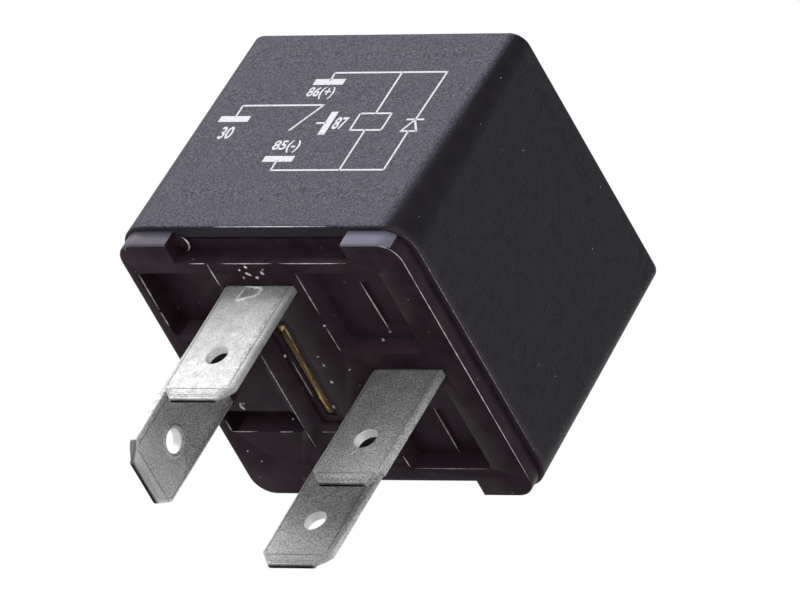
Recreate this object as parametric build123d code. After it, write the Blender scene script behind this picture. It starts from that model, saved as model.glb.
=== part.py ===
from build123d import *
import os
from math import cos, radians, sin, sqrt, tan

# Four-pin automotive cube relay with a suppression diode.
# Millimetres, +Z up. The origin is the middle of the seating plane, the underside of
# the base rim. The blades point down, the printed label is on the -Y side.

# Cover
cover_top = 22.45          # above the seating plane
cover_wall = 1.1
cover_draft = 1.3          # degrees, narrower towards the top
cover_corner = 2.2         # at the open lower edge
cover_top_round = 0.7
cover_relief = 0.45        # raised lower edge at the back, between the feet

# Base moulding
rim_height = 1.45          # seating plane to the lower edge of the cover
rim_step = 0.43            # cover stands this far outside the rim
base_top = 4.4
plug_clearance = 0.06
foot_length = 4.8          # corner feet, along the label side
notch_depth = 1.8          # between the feet, inwards
left_wall = 0.95           # rim to the left pockets
right_wall = 2.77          # rim to the right pockets
end_wall = 2.82            # label side and back of the pockets
pocket_depth = 1.6
pocket_corner = 0.45
pad_left = 3.5             # middle of the pin pattern to the left pockets
pad_right = 4.0
web_30 = 3.6               # web that carries terminal 30, between the right pockets
pad_border = 0.7           # pad beyond the edges of terminal 87
coil_pad = 2.4             # pad in front of terminal 86
slot_recess = 0.3          # shallow recess round the middle slot
slot_border = 0.85
trench_start = 3.7         # inner wall of a right pocket to its deeper trench
trench_depth = 1.9
trench_length = 4.5
trench_gap = 1.2           # web of terminal 30 to the front trench
latch_length = 5.0
latch_reach = 0.4
latch_height = 1.1
latch_spacing = 12.0
latch_play = 0.05

# Blades
blade_width = 6.3
blade_thick = 0.8
blade_length = 11.4        # below the seating plane
tip_side = 1.12
tip_rise = 1.3
tip_bevel = 0.22
tip_bevel_rise = 0.9
edge_break = 0.12
hole_radius = 0.9
hole_height = 4.4          # above the tip
slot_play = 0.05           # round each blade in the base
coil_pin_spacing = 16.8    # 85 to 86
load_pin_spacing = 17.85   # 30 to 87
room_87 = 1.175            # terminal 87 to the inside of the cover
room_30 = 1.425            # edge of terminal 30 to the inside of the cover
pin_y = 0.25               # middle of the pin pattern
tab_width = 2.6            # inside end of the coil terminals
tab_height = 5.4           # above the base
tab_notch = 0.87           # side of the notch that holds the wire
shoulder_rise = 0.5
lance_width = 1.9
lance_height = 1.6
lance_top = 0.27           # above the seating plane
lance_depth = 0.18

# Magnet
core_radius = 2.6
pole_radius = 4.3
pole_thick = 1.2
yoke_thick = 1.6
yoke_width = 10.4
leg_room = 1.8             # outer face of the upright leg to the inside of the cover
head_room = 5.85           # top of the yoke to the top of the cover
foot_reach = 6.2           # core axis to the end of the yoke foot
yoke_bend = 0.8            # outside radius
core_fit = 0.04
bobbin_wall = 0.6
bobbin_play = 0.1
flange_thick = 0.9
flange_length = 13.6
flange_width = 13.2
flange_corner = 1.2
leg_gap = 0.6              # flange to the leg of the yoke
coil_radius = 6.0
wrap_thick = 0.12

# Armature and contacts
armature_thick = 1.4
armature_width = 11.0
armature_tail_width = 7.6
end_gap = 2.3              # contact axis to the free end of the armature
hinge_setback = 0.12       # hinge edge, inside the outer face of the leg
hinge_gap = 0.02
waist_start = 1.0          # waist of the armature to the leg of the yoke
waist_slope = 1.0
open_angle = 4.0           # degrees, from pulled in to rest
working_angle = 3.4        # degrees that the armature turns
leaf_thick = 0.3
leaf_width = 7.0
leaf_end_width = 4.4
leaf_margin = 1.9          # contact axis to the end of the leaf
leaf_neck = 1.0            # free end of the armature to the full width of the leaf
leaf_drop = 7.4            # top of the yoke down to the lower end of the leaf
leaf_bend = 1.0            # inside radius
contact_reach = 2.125      # middle of terminal 87 to the contact axis
contact_radius = 1.6
contact_height = 1.1
contact_edge = 0.25
contact_stem = 0.8
contact_tail = 0.4
contact_gap_left = 0.03    # between the contacts at the end of the working angle
stop_gap = 0.03
rivet_radius = 0.8
rivet_head = 1.3
rivet_head_thick = 0.5
rivet_play = 0.05
rivet_spacing = 3.6
rivet_margin = 1.7         # free end of the armature to its rivets
rivet_drop = 5.4           # top of the yoke down to its rivets

# Stop strip
strip_thick = 0.8
strip_spacing = 8.425      # terminal 87 to the middle slot
strip_length = 8.9
strip_recess = 0.35        # lower edge above the seating plane
strip_play = 0.1
strip_width = 3.0
strip_lap = 1.6            # middle of the tongue to the edge of the run
strip_gap = 1.0            # terminal 87 to the riser of the strip
strip_cover = 0.3          # top of the run below the top of the base

# Diode and coil wires
diode_radius = 1.3
diode_length = 5.2
diode_gap = 0.1            # to the bobbin flange
diode_rise = 1.6           # axis above the base
diode_edge = 0.26
diode_lead = 0.38          # radius
lead_sides = 8             # facets of the thin wire, to keep it light
lead_bend = 0.95           # middle radius
wire_radius = 0.15
wire_rise = 1.3            # above the lower flange
wire_offset = 0.9          # from the middle of the soldering tab

# Cutters
over = 1.0                 # past the face that a cutter enters
through = 8.0              # length of a drill

# Places worked out from the sizes above
cover_inner = room_87 + blade_thick / 2 + load_pin_spacing + blade_width / 2 + room_30
cover_size = cover_inner + 2 * cover_wall     # outside, at the open lower edge
rim_size = cover_size - 2 * rim_step
blade_tip = -blade_length
hole_z = blade_tip + hole_height
x_87 = -cover_inner / 2 + room_87 + blade_thick / 2
x_30 = x_87 + load_pin_spacing
pin_x = (x_87 + x_30) / 2
strip_x = x_87 + strip_spacing
strip_side = pin_y + blade_width / 2 + strip_gap
yoke_outer = cover_inner / 2 - leg_room
yoke_top = cover_top - head_room
contact_x = x_87 + contact_reach
armature_end = contact_x + end_gap
leaf_end = contact_x - leaf_margin
leaf_foot = yoke_top - leaf_drop
armature_rivet_x = armature_end + rivet_margin
yoke_rivet_z = yoke_top - rivet_drop
y_85 = pin_y - coil_pin_spacing / 2
y_86 = pin_y + coil_pin_spacing / 2
hinge_x = yoke_outer - hinge_setback
hinge_z = yoke_top + hinge_gap
yoke_inner = yoke_outer - yoke_thick
core_x = yoke_inner - leg_gap - flange_length / 2
yoke_foot_end = core_x - foot_reach
foot_top = base_top + yoke_thick
bobbin_top = yoke_top - pole_thick
barrel_radius = core_radius + bobbin_play + bobbin_wall
wind_bottom = foot_top + flange_thick
wind_top = bobbin_top - flange_thick
wire_x = pin_x + wire_offset
wire_z = wind_bottom + wire_rise
diode_x = core_x - flange_length / 2 - diode_gap - diode_radius
diode_z = base_top + diode_rise
tab_top = base_top + tab_height
leaf_z = hinge_z + armature_thick
contact_arm = hinge_x - contact_x
meet_angle = open_angle - working_angle
contact_face = hinge_z + contact_arm * sin(radians(meet_angle)) + (armature_thick - contact_height)
fixed_face = contact_face - contact_gap_left
fixed_tab_top = fixed_face - contact_height
tail_top = leaf_z + leaf_thick + contact_tail
stop_z = (hinge_z + contact_arm * sin(radians(open_angle))
          + (tail_top - hinge_z) * cos(radians(open_angle))
          + contact_radius * sin(radians(open_angle)) + stop_gap)
strip_top = base_top - strip_cover
pocket_end = rim_size / 2 - end_wall


def block(x0, x1, y0, y1, z0, z1):
    """Box between two corners."""
    return Pos((x0 + x1) / 2, (y0 + y1) / 2, (z0 + z1) / 2) * Box(x1 - x0, y1 - y0, z1 - z0)


def tapered(size, corner, z0, z1):
    """Rounded square prism that narrows upwards at the draft of the moulding."""
    outline = Pos(0, 0, z0) * RectangleRounded(size, size, corner)
    return extrude(outline, amount=z1 - z0, taper=cover_draft)


def rod(radius, start, end):
    """Round bar between two points."""
    path = Vector(*end) - Vector(*start)
    return extrude(Plane(origin=start, z_dir=path) * Circle(radius), amount=path.length)


def pocket(x0, x1, y0, y1, depth):
    """Pocket in the underside, with rounded corners."""
    outline = Pos((x0 + x1) / 2, (y0 + y1) / 2) * RectangleRounded(x1 - x0, y1 - y0, pocket_corner)
    return extrude(outline, amount=depth)


def latch_blocks(grow, reach):
    """Wedge lugs on the left and right of the plug, or with grow their recesses."""
    lugs = []
    face = cover_inner / 2 - plug_clearance
    middle = (rim_height + base_top) / 2
    for side in (-1, 1):
        for place in (-latch_spacing / 2, latch_spacing / 2):
            lug = Pos(side * face, place, middle) * Box(
                2 * (reach + grow), latch_length + 2 * grow, latch_height + 2 * grow)
            lugs.append(lug)
    return lugs


def make_cover():
    outside = tapered(cover_size, cover_corner, rim_height, cover_top)
    top_edges = outside.edges().group_by(Axis.Z)[-1]
    outside = fillet(top_edges, cover_top_round)
    inside = tapered(cover_inner, cover_corner - cover_wall, rim_height, cover_top - cover_wall)
    cover = outside - inside
    reach = rim_size / 2 - foot_length
    cover -= block(-reach, reach, 0, cover_size, rim_height - over, rim_height + cover_relief)
    for recess in latch_blocks(latch_play, latch_reach):
        cover -= recess
    return cover


def right_pockets():
    """Ends in X and Y of the two pockets beside terminal 30."""
    start = pin_x + pad_right
    end = rim_size / 2 - right_wall
    return [(start, end, -pocket_end, -web_30 / 2), (start, end, web_30 / 2, pocket_end)]


def base_pockets():
    """Pockets of the underside: two on the right, two on the left, a shallow one round the slot."""
    start = -rim_size / 2 + left_wall
    end = pin_x - pad_left
    pad = blade_width / 2 + pad_border
    cuts = [pocket(*ends, pocket_depth) for ends in right_pockets()]
    cuts.append(pocket(start, end, -pocket_end, pin_y - pad, pocket_depth))
    cuts.append(pocket(start, end, pin_y + pad, y_86 - coil_pad, pocket_depth))
    half_width = strip_thick / 2 + slot_border
    half_length = strip_length / 2 + slot_border
    cuts.append(pocket(strip_x - half_width, strip_x + half_width,
                       pin_y - half_length, pin_y + half_length, slot_recess))
    return cuts


def trenches():
    """Deeper trench in the outer part of each right pocket."""
    front, back = right_pockets()
    cuts = []
    for ends, gap in ((front, trench_gap), (back, 0)):
        start, end, near, far = ends
        cuts.append(pocket(start + trench_start, end, far - gap - trench_length, far - gap, trench_depth))
    return cuts


def notches():
    """Openings of the rim between the corner feet, on the label side and the back."""
    half = rim_size / 2
    reach = half - foot_length
    return [
        block(-reach, reach, -half - over, -half + notch_depth, -over, rim_height),
        block(-reach, reach, half - notch_depth, half + over, -over, rim_height),
    ]


def blade_slot(x, y, along_y):
    """Slot for a blade through the whole base."""
    long_side = blade_width + 2 * slot_play
    short_side = blade_thick + 2 * slot_play
    size_x = short_side if along_y else long_side
    size_y = long_side if along_y else short_side
    return Pos(x, y, base_top / 2) * Box(size_x, size_y, through)


def strip_channel(play, z0, z1):
    """Run of the stop strip in the top of the base, from its slot to its riser."""
    back = strip_side + strip_width + play
    start = strip_x + strip_thick / 2 + play
    front = pin_y - strip_length / 2 - play
    near = block(strip_x - strip_lap - play, start, front, back, z0, z1)
    outer = x_87 - strip_thick / 2 - play
    return near + block(outer, start, strip_side - play, back, z0, z1)


def make_base():
    rim = extrude(RectangleRounded(rim_size, rim_size, cover_corner - rim_step), amount=rim_height)
    rim = chamfer(rim.edges().group_by(Axis.Z)[0], edge_break)
    plug_size = cover_inner - 2 * plug_clearance
    plug_corner = cover_corner - cover_wall - plug_clearance
    plug = tapered(plug_size, plug_corner, rim_height, base_top)
    base = rim + plug
    for lug in latch_blocks(0, latch_reach - latch_play):
        base += lug
    for cut in base_pockets() + trenches() + notches():
        base -= cut
    base -= blade_slot(pin_x, y_85, False)
    base -= blade_slot(pin_x, y_86, False)
    base -= blade_slot(x_30, pin_y, False)
    base -= blade_slot(x_87, pin_y, True)
    base -= Pos(strip_x, pin_y, base_top / 2) * Box(
        strip_thick + 2 * strip_play, strip_length + 2 * strip_play, through)
    base -= strip_channel(strip_play, strip_top - strip_thick, base_top + over)
    return base


def blade_blank(top):
    """Blade standing on its tip at x=y=0, wide along X, with coined tip, edges and hole."""
    half = blade_width / 2
    section = Rectangle(blade_width, blade_thick)
    section = chamfer(section.vertices(), edge_break)
    body = extrude(Pos(0, 0, blade_tip) * section, amount=top - blade_tip)
    face = Polyline((-half, top), (-half, blade_tip + tip_rise), (-half + tip_side, blade_tip),
                    (half - tip_side, blade_tip), (half, blade_tip + tip_rise), (half, top), close=True)
    front = extrude(Plane.XZ * make_face(face), amount=blade_thick, both=True)
    edge = blade_thick / 2
    side = Polyline((-edge, top), (-edge, blade_tip + tip_bevel_rise), (-edge + tip_bevel, blade_tip),
                    (edge - tip_bevel, blade_tip), (edge, blade_tip + tip_bevel_rise), (edge, top),
                    close=True)
    profile = extrude(Plane.YZ * make_face(side), amount=blade_width, both=True)
    body = (body & front) & profile
    hole = Pos(0, 0, hole_z) * Rot(90, 0, 0) * Cylinder(hole_radius, through)
    return body - hole


def make_coil_terminal(y, facing):
    """Terminal 85 or 86: blade, shoulders on the base and a soldering tab."""
    terminal = blade_blank(base_top + shoulder_rise)
    tab = block(-tab_width / 2, tab_width / 2, -blade_thick / 2, blade_thick / 2, base_top, tab_top)
    notch = Pos(0, 0, tab_top) * Rot(0, 45, 0) * Box(tab_notch, through, tab_notch)
    lance = Pos(0, facing * blade_thick / 2, lance_top - lance_height / 2) * Box(
        lance_width, 2 * lance_depth, lance_height)
    return Pos(pin_x, y, 0) * (terminal + tab - notch - lance)


def make_terminal_30():
    """Terminal 30, with a tab that is staked into the yoke foot."""
    terminal = blade_blank(base_top)
    tab = block(-tab_width / 2, tab_width / 2, -blade_thick / 2, blade_thick / 2, base_top, foot_top)
    return Pos(x_30, pin_y, 0) * (terminal + tab)


def make_terminal_87():
    """Terminal 87, which rises on the left and turns in below the contacts."""
    riser = blade_blank(fixed_tab_top)
    shelf = block(-blade_width / 2, blade_width / 2, -blade_thick / 2,
                  contact_x + contact_radius - x_87, fixed_tab_top - blade_thick, fixed_tab_top)
    stem = Pos(0, contact_x - x_87, fixed_tab_top) * Cylinder(contact_stem + rivet_play, through)
    terminal = Rot(0, 0, -90) * (riser + shelf - stem)
    return Pos(x_87, pin_y, 0) * terminal


def make_rest_stop():
    """Stop strip: a tongue in the middle slot, a run along the base, a riser and a stop."""
    tongue = block(strip_x - strip_thick / 2, strip_x + strip_thick / 2,
                   pin_y - strip_length / 2, pin_y + strip_length / 2, strip_recess, strip_top)
    run = strip_channel(0, strip_top - strip_thick, strip_top)
    outer = x_87 - strip_thick / 2
    riser = block(outer, outer + strip_thick, strip_side, strip_side + strip_width,
                  strip_top - strip_thick, stop_z + strip_thick)
    shelf = block(outer, contact_x + contact_radius, pin_y - contact_radius,
                  strip_side + strip_width, stop_z, stop_z + strip_thick)
    return tongue + run + riser + shelf


def make_yoke():
    """L-shaped iron yoke with a hole for the core, a slot for terminal 30 and rivet holes."""
    half = yoke_width / 2
    foot = block(yoke_foot_end, yoke_outer, pin_y - half, pin_y + half, base_top, foot_top)
    leg = block(yoke_inner, yoke_outer, pin_y - half, pin_y + half, base_top, yoke_top)
    yoke = foot + leg
    corner = yoke.edges().filter_by(Axis.Y).group_by(Axis.X)[-1].group_by(Axis.Z)[0]
    yoke = fillet(corner, yoke_bend)
    yoke -= Pos(core_x, pin_y, base_top) * Cylinder(core_radius + core_fit, through)
    slot_x = tab_width / 2 + slot_play
    slot_y = blade_thick / 2 + slot_play
    yoke -= block(x_30 - slot_x, x_30 + slot_x, pin_y - slot_y, pin_y + slot_y, base_top - over, foot_top)
    for y in rivet_places():
        yoke -= Pos(yoke_outer, y, yoke_rivet_z) * Rot(0, 90, 0) * Cylinder(
            rivet_radius + rivet_play, through)
    return yoke


def rivet_places():
    return (pin_y - rivet_spacing / 2, pin_y + rivet_spacing / 2)


def make_core():
    """Core with its pole face on top and its lower end staked into the yoke foot."""
    shank = rod(core_radius, (core_x, pin_y, base_top), (core_x, pin_y, bobbin_top))
    pole = rod(pole_radius, (core_x, pin_y, bobbin_top), (core_x, pin_y, yoke_top))
    pole = chamfer(pole.edges().group_by(Axis.Z)[-1], edge_break)
    return shank + pole


def make_bobbin():
    flange = RectangleRounded(flange_length, flange_width, flange_corner)
    low = extrude(Pos(core_x, pin_y, foot_top) * flange, amount=flange_thick)
    high = extrude(Pos(core_x, pin_y, wind_top) * flange, amount=flange_thick)
    barrel = rod(barrel_radius, (core_x, pin_y, foot_top), (core_x, pin_y, bobbin_top))
    bore = rod(core_radius + bobbin_play, (core_x, pin_y, foot_top), (core_x, pin_y, bobbin_top))
    return low + high + barrel - bore


def ring(inner, outer):
    """Sleeve round the core, between the bobbin flanges."""
    start = (core_x, pin_y, wind_bottom)
    end = (core_x, pin_y, wind_top)
    return rod(outer, start, end) - rod(inner, start, end)


def at_rest(shape):
    """Turn a piece drawn with the armature pulled in to its rest position."""
    hinge = Axis((hinge_x, 0, hinge_z), (0, 1, 0))
    return shape.rotate(hinge, open_angle)


def make_armature():
    half = armature_width / 2
    tail = armature_tail_width / 2
    waist = yoke_inner - waist_start
    slope = waist - waist_slope
    outline = Polyline((armature_end, -half), (slope, -half), (waist, -tail), (hinge_x, -tail),
                       (hinge_x, tail), (waist, tail), (slope, half), (armature_end, half), close=True)
    plate = extrude(Pos(0, pin_y, hinge_z) * make_face(outline), amount=armature_thick)
    tail_edge = plate.edges().filter_by(Axis.Y).group_by(Axis.X)[-1].group_by(Axis.Z)[-1]
    plate = chamfer(tail_edge, leaf_bend)
    for y in rivet_places():
        plate -= Pos(armature_rivet_x, y, hinge_z) * Cylinder(rivet_radius + rivet_play, through)
    return at_rest(plate)


def leaf_side_cut(side):
    """Wedge that narrows the leaf from its full width to its end."""
    half = leaf_width / 2
    end = leaf_end_width / 2
    outline = Polyline((leaf_end - over, side * (half + over)), (leaf_end - over, side * end),
                       (contact_x + contact_radius, side * end), (armature_end + leaf_neck, side * half),
                       (armature_end + leaf_neck, side * (half + over)), close=True)
    return extrude(Pos(0, pin_y, leaf_z) * make_face(outline), amount=through / 2, both=True)


def make_contact_spring():
    """L-shaped leaf spring, riveted to the armature and to the leg of the yoke."""
    middle = leaf_thick / 2
    slope = radians(open_angle)
    foot_x = yoke_outer + middle
    lift = hinge_z + (armature_thick + middle) / cos(slope)
    corner = (foot_x, lift - (foot_x - hinge_x) * tan(slope))
    reach = hinge_x - leaf_end
    free_end = (hinge_x - reach * cos(slope), lift + reach * cos(slope) * tan(slope))
    path = FilletPolyline((foot_x, leaf_foot), corner, free_end, radius=leaf_bend + middle)
    strip = extrude(Plane.XZ * trace(path, leaf_thick), amount=leaf_width / 2, both=True)
    leaf = Pos(0, pin_y, 0) * strip
    for side in (-1, 1):
        leaf -= at_rest(leaf_side_cut(side))
    for y in rivet_places():
        leaf -= at_rest(Pos(armature_rivet_x, y, leaf_z) * Cylinder(rivet_radius + rivet_play, through))
        leaf -= Pos(yoke_outer, y, yoke_rivet_z) * Rot(0, 90, 0) * Cylinder(
            rivet_radius + rivet_play, through)
    leaf -= at_rest(Pos(contact_x, pin_y, leaf_z) * Cylinder(contact_stem + rivet_play, through))
    return leaf


def contact_rivet(face_z, seat_z, tail_z):
    """Contact rivet: head from its face to its seat, then a stem up or down to its tail."""
    centre = (contact_x, pin_y)
    head = rod(contact_radius, (*centre, min(face_z, seat_z)), (*centre, max(face_z, seat_z)))
    face_edges = head.edges().sort_by(lambda edge: abs(edge.center().Z - face_z))[:1]
    head = chamfer(face_edges, contact_edge)
    return head + rod(contact_stem, (*centre, seat_z), (*centre, tail_z))


def make_moving_contact():
    return at_rest(contact_rivet(leaf_z - contact_height, leaf_z, tail_top))


def make_fixed_contact():
    return contact_rivet(fixed_face, fixed_tab_top, fixed_tab_top - blade_thick)


def make_armature_rivets():
    """Two rivets through armature and leaf, flush below."""
    rivets = []
    for y in rivet_places():
        shank = rod(rivet_radius, (armature_rivet_x, y, hinge_z), (armature_rivet_x, y, leaf_z + leaf_thick))
        head_base = leaf_z + leaf_thick
        head = rod(rivet_head, (armature_rivet_x, y, head_base),
                   (armature_rivet_x, y, head_base + rivet_head_thick))
        rivets.append(at_rest(shank + head))
    return Compound(rivets)


def make_yoke_rivets():
    """Two rivets through the leaf and the leg of the yoke, flush inside."""
    rivets = []
    face = yoke_outer + leaf_thick
    for y in rivet_places():
        shank = rod(rivet_radius, (yoke_inner, y, yoke_rivet_z), (face, y, yoke_rivet_z))
        head = rod(rivet_head, (face, y, yoke_rivet_z), (face + rivet_head_thick, y, yoke_rivet_z))
        rivets.append(shank + head)
    return Compound(rivets)


def make_diode_body():
    body = rod(diode_radius, (diode_x, pin_y - diode_length / 2, diode_z),
               (diode_x, pin_y + diode_length / 2, diode_z))
    return chamfer(body.edges().filter_by(GeomType.CIRCLE), diode_edge)


def make_diode_lead(side):
    """Lead from an end of the diode round to the edge of the soldering tab."""
    start = pin_y + side * diode_length / 2
    row = pin_y + side * coil_pin_spacing / 2
    tab_edge = pin_x - tab_width / 2
    path = FilletPolyline((diode_x, start, diode_z), (diode_x, row, diode_z), (tab_edge, row, diode_z),
                          radius=lead_bend)
    across = Plane(origin=(diode_x, start, diode_z), z_dir=(0, side, 0))
    return sweep(across * RegularPolygon(diode_lead, lead_sides), path=path)


def make_coil_wire(side):
    """End of the winding, straight across to the soldering tab."""
    surface = coil_radius + wrap_thick
    start = sqrt(surface ** 2 - (wire_x - core_x) ** 2) + wire_radius
    end = coil_pin_spacing / 2 - blade_thick / 2
    return rod(wire_radius, (wire_x, pin_y + side * start, wire_z), (wire_x, pin_y + side * end, wire_z))


parts = {
    "cover": make_cover(),
    "base": make_base(),
    "terminal_30": make_terminal_30(),
    "terminal_87": make_terminal_87(),
    "terminal_85": make_coil_terminal(y_85, -1),
    "terminal_86": make_coil_terminal(y_86, -1),
    "rest_stop": make_rest_stop(),
    "yoke": make_yoke(),
    "core": make_core(),
    "bobbin": make_bobbin(),
    "coil_winding": ring(barrel_radius, coil_radius),
    "coil_wrap": ring(coil_radius, coil_radius + wrap_thick),
    "coil_wire_85": make_coil_wire(-1),
    "coil_wire_86": make_coil_wire(1),
    "armature": make_armature(),
    "contact_spring": make_contact_spring(),
    "moving_contact": make_moving_contact(),
    "fixed_contact": make_fixed_contact(),
    "armature_rivets": make_armature_rivets(),
    "yoke_rivets": make_yoke_rivets(),
    "diode_body": make_diode_body(),
    "diode_lead_85": make_diode_lead(-1),
    "diode_lead_86": make_diode_lead(1),
}

os.makedirs("parts", exist_ok=True)
for name, shape in parts.items():
    export_step(shape, f"parts/{name}.step")

print(f"hinge axis x {hinge_x:.3f} z {hinge_z:.3f}, hole z {hole_z:.3f}, 30 at {x_30:.3f}, 87 at {x_87:.3f}")
print(f"85 at {y_85:.3f}, 86 at {y_86:.3f}, contact face {contact_face:.3f}, stop {stop_z:.3f}")
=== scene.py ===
# %% [markdown]
# A four-pin cube relay, seen from below. The CAD model gives every piece its place and size,
# and this lesson gives the pieces their looks: surfaces worked out with numpy for the cover,
# the blades and the spring, softened copies of solids for the base, and procedural finishes.

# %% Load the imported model
import math

import bmesh
import bpy
import numpy as np
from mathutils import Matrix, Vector


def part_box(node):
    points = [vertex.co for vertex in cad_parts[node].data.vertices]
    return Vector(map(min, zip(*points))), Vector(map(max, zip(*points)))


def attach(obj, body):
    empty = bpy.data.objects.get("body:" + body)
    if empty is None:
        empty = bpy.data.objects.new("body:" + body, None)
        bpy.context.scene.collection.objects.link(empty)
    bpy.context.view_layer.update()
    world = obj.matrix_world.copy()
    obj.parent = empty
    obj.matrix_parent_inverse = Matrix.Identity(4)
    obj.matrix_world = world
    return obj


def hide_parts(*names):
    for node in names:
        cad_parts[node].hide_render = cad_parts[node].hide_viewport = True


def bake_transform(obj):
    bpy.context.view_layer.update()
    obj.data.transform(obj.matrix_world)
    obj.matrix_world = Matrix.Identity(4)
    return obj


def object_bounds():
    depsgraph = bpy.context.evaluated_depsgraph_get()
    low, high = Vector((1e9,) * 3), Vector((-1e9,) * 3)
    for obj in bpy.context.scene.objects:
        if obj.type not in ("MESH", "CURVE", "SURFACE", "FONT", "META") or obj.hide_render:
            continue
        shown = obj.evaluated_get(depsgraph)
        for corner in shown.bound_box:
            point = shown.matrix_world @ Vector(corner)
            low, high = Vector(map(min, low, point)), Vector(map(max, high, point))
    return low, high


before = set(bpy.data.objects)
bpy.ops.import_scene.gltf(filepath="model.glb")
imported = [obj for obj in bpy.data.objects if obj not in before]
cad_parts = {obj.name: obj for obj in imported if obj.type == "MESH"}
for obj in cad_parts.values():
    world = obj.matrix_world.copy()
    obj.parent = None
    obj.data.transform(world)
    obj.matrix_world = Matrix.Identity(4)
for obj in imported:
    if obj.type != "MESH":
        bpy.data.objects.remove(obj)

MM = 0.001
cad_low, cad_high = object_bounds()
print("CAD box, mm:", [round(v / MM, 2) for v in (*cad_low, *cad_high)])

# %% [markdown]
# The camera comes first, because everything is judged through it. The photograph was taken
# with a long lens from below and to the right, so parallel edges stay nearly parallel. The
# place was fitted to the corners of the cover and the blades. A camera looks along its own
# -Z, so the columns of its matrix are right, up, backwards and its place.

# %% Camera
right = (0.80373, 0.41584, 0.42556)
down = (0.00040, 0.71485, -0.69928)
forward = (-0.59500, 0.56220, 0.57438)
eye = (0.718341, -0.676059, -0.683364)

lens = bpy.data.cameras.new("long_lens")
lens.sensor_width = 36.0
lens.lens = 748.08
lens.clip_start = 0.05
lens.clip_end = 50.0
camera = bpy.data.objects.new("camera", lens)
bpy.context.scene.collection.objects.link(camera)
pose = np.eye(4)
pose[:3, :] = np.stack((right, np.negative(down), np.negative(forward), eye), axis=1)
camera.matrix_world = pose.T
bpy.context.scene.camera = camera
print("camera stands", round(float(np.linalg.norm(eye)), 3), "m from the seat of the relay")

# %% [markdown]
# A wide softbox stands up on the left in front. From the camera, the label side and the front
# blade mirror just that direction, which makes the one grey and the other nearly white. The
# right side and the underside mirror the empty studio and stay dark. The world is even and
# white and fills the shadows. The floor has one side, so this camera looks up through it.

# %% Softbox
middle = (cad_low + cad_high) / 2


def softbox(name, direction, distance, size, radiance):
    """Square lamp that faces the relay from a direction.
    A square of side a that glows with radiance L gives off pi L a a watts."""
    data = bpy.data.lights.new(name, "AREA")
    data.shape = "SQUARE"
    data.size = size
    data.energy = math.pi * radiance * size * size
    lamp = bpy.data.objects.new(name, data)
    towards = Vector(direction).normalized()
    lamp.rotation_euler = towards.to_track_quat("Z", "Y").to_euler()
    lamp.location = middle + distance * towards
    lamp.visible_camera = False
    bpy.context.scene.collection.objects.link(lamp)
    return lamp


key = softbox("key_softbox", (-0.595, -0.562, 0.574), distance=1.0, size=0.68, radiance=4.1)
print(key.name, "gives", round(key.data.energy, 2), "W")
bpy.context.scene.view_settings.view_transform = "Standard"

# %% World
world = bpy.data.worlds.new("studio")
bpy.context.scene.world = world
world.use_nodes = True
studio = world.node_tree
rays = studio.nodes.new("ShaderNodeLightPath")


def larger(first, second):
    """Larger of two outputs among the world's nodes."""
    node = studio.nodes.new("ShaderNodeMath")
    node.operation = "MAXIMUM"
    studio.links.new(first, node.inputs[0])
    studio.links.new(second, node.inputs[1])
    return node.outputs[0]


WORLD_LIGHT = 0.65
mirrored = larger(rays.outputs["Is Camera Ray"], rays.outputs["Is Glossy Ray"])
shown = larger(mirrored, rays.outputs["Is Transmission Ray"])
strength = studio.nodes.new("ShaderNodeMapRange")
strength.inputs["To Min"].default_value = WORLD_LIGHT
strength.inputs["To Max"].default_value = 1.0
studio.links.new(shown, strength.inputs["Value"])
sky = studio.nodes["Background"]
sky.inputs["Color"].default_value = (1.0, 1.0, 1.0, 1.0)
studio.links.new(strength.outputs["Result"], sky.inputs["Strength"])
print("world gives", WORLD_LIGHT, "as light and shows as white")

# %% Floor
floor_half = 20.0
corners = np.array(((-1, -1), (1, -1), (1, 1), (-1, 1))) * floor_half
floor_mesh = bpy.data.meshes.new("floor")
floor_mesh.from_pydata([(x, y, cad_low.z) for x, y in corners], [], [(0, 1, 2, 3)])
floor = bpy.data.objects.new("floor", floor_mesh)
bpy.context.scene.collection.objects.link(floor)

paper = bpy.data.materials.new("paper_floor")
paper.use_nodes = True
paper_nodes = paper.node_tree.nodes
paper_shader = paper_nodes["Principled BSDF"]
paper_shader.inputs["Base Color"].default_value = (0.83, 0.83, 0.83, 1.0)
paper_shader.inputs["Roughness"].default_value = 0.9
below = paper_nodes.new("ShaderNodeNewGeometry")
clear = paper_nodes.new("ShaderNodeBsdfTransparent")
one_sided = paper_nodes.new("ShaderNodeMixShader")
paper.node_tree.links.new(below.outputs["Backfacing"], one_sided.inputs["Fac"])
paper.node_tree.links.new(paper_shader.outputs["BSDF"], one_sided.inputs[1])
paper.node_tree.links.new(clear.outputs["BSDF"], one_sided.inputs[2])
paper.node_tree.links.new(one_sided.outputs[0], paper_nodes["Material Output"].inputs["Surface"])
floor_mesh.materials.append(paper)
print("floor lies at the blade tips, z", round(cad_low.z / MM, 2), "mm")

# %% [markdown]
# A finish is one Principled shader with plain values on its own sockets, and patterns that
# change its colour, roughness and bump. The patterns are noise in object space, so they stay
# on the piece from every side. Scale counts features per metre: a moulding grain of a
# seventh of a millimetre has scale 7000.

# %% Plain finish and noise


def finish(name, colour, roughness, metallic=0.0, specular=0.5, tint=(1.0, 1.0, 1.0)):
    """Material with one Principled shader and plain values; tint colours the gloss."""
    material = bpy.data.materials.new(name)
    material.use_nodes = True
    sockets = material.node_tree.nodes["Principled BSDF"].inputs
    sockets["Base Color"].default_value = (*colour, 1.0)
    sockets["Roughness"].default_value = roughness
    sockets["Metallic"].default_value = metallic
    sockets["Specular IOR Level"].default_value = specular
    sockets["Specular Tint"].default_value = (*tint, 1.0)
    return material


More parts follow.
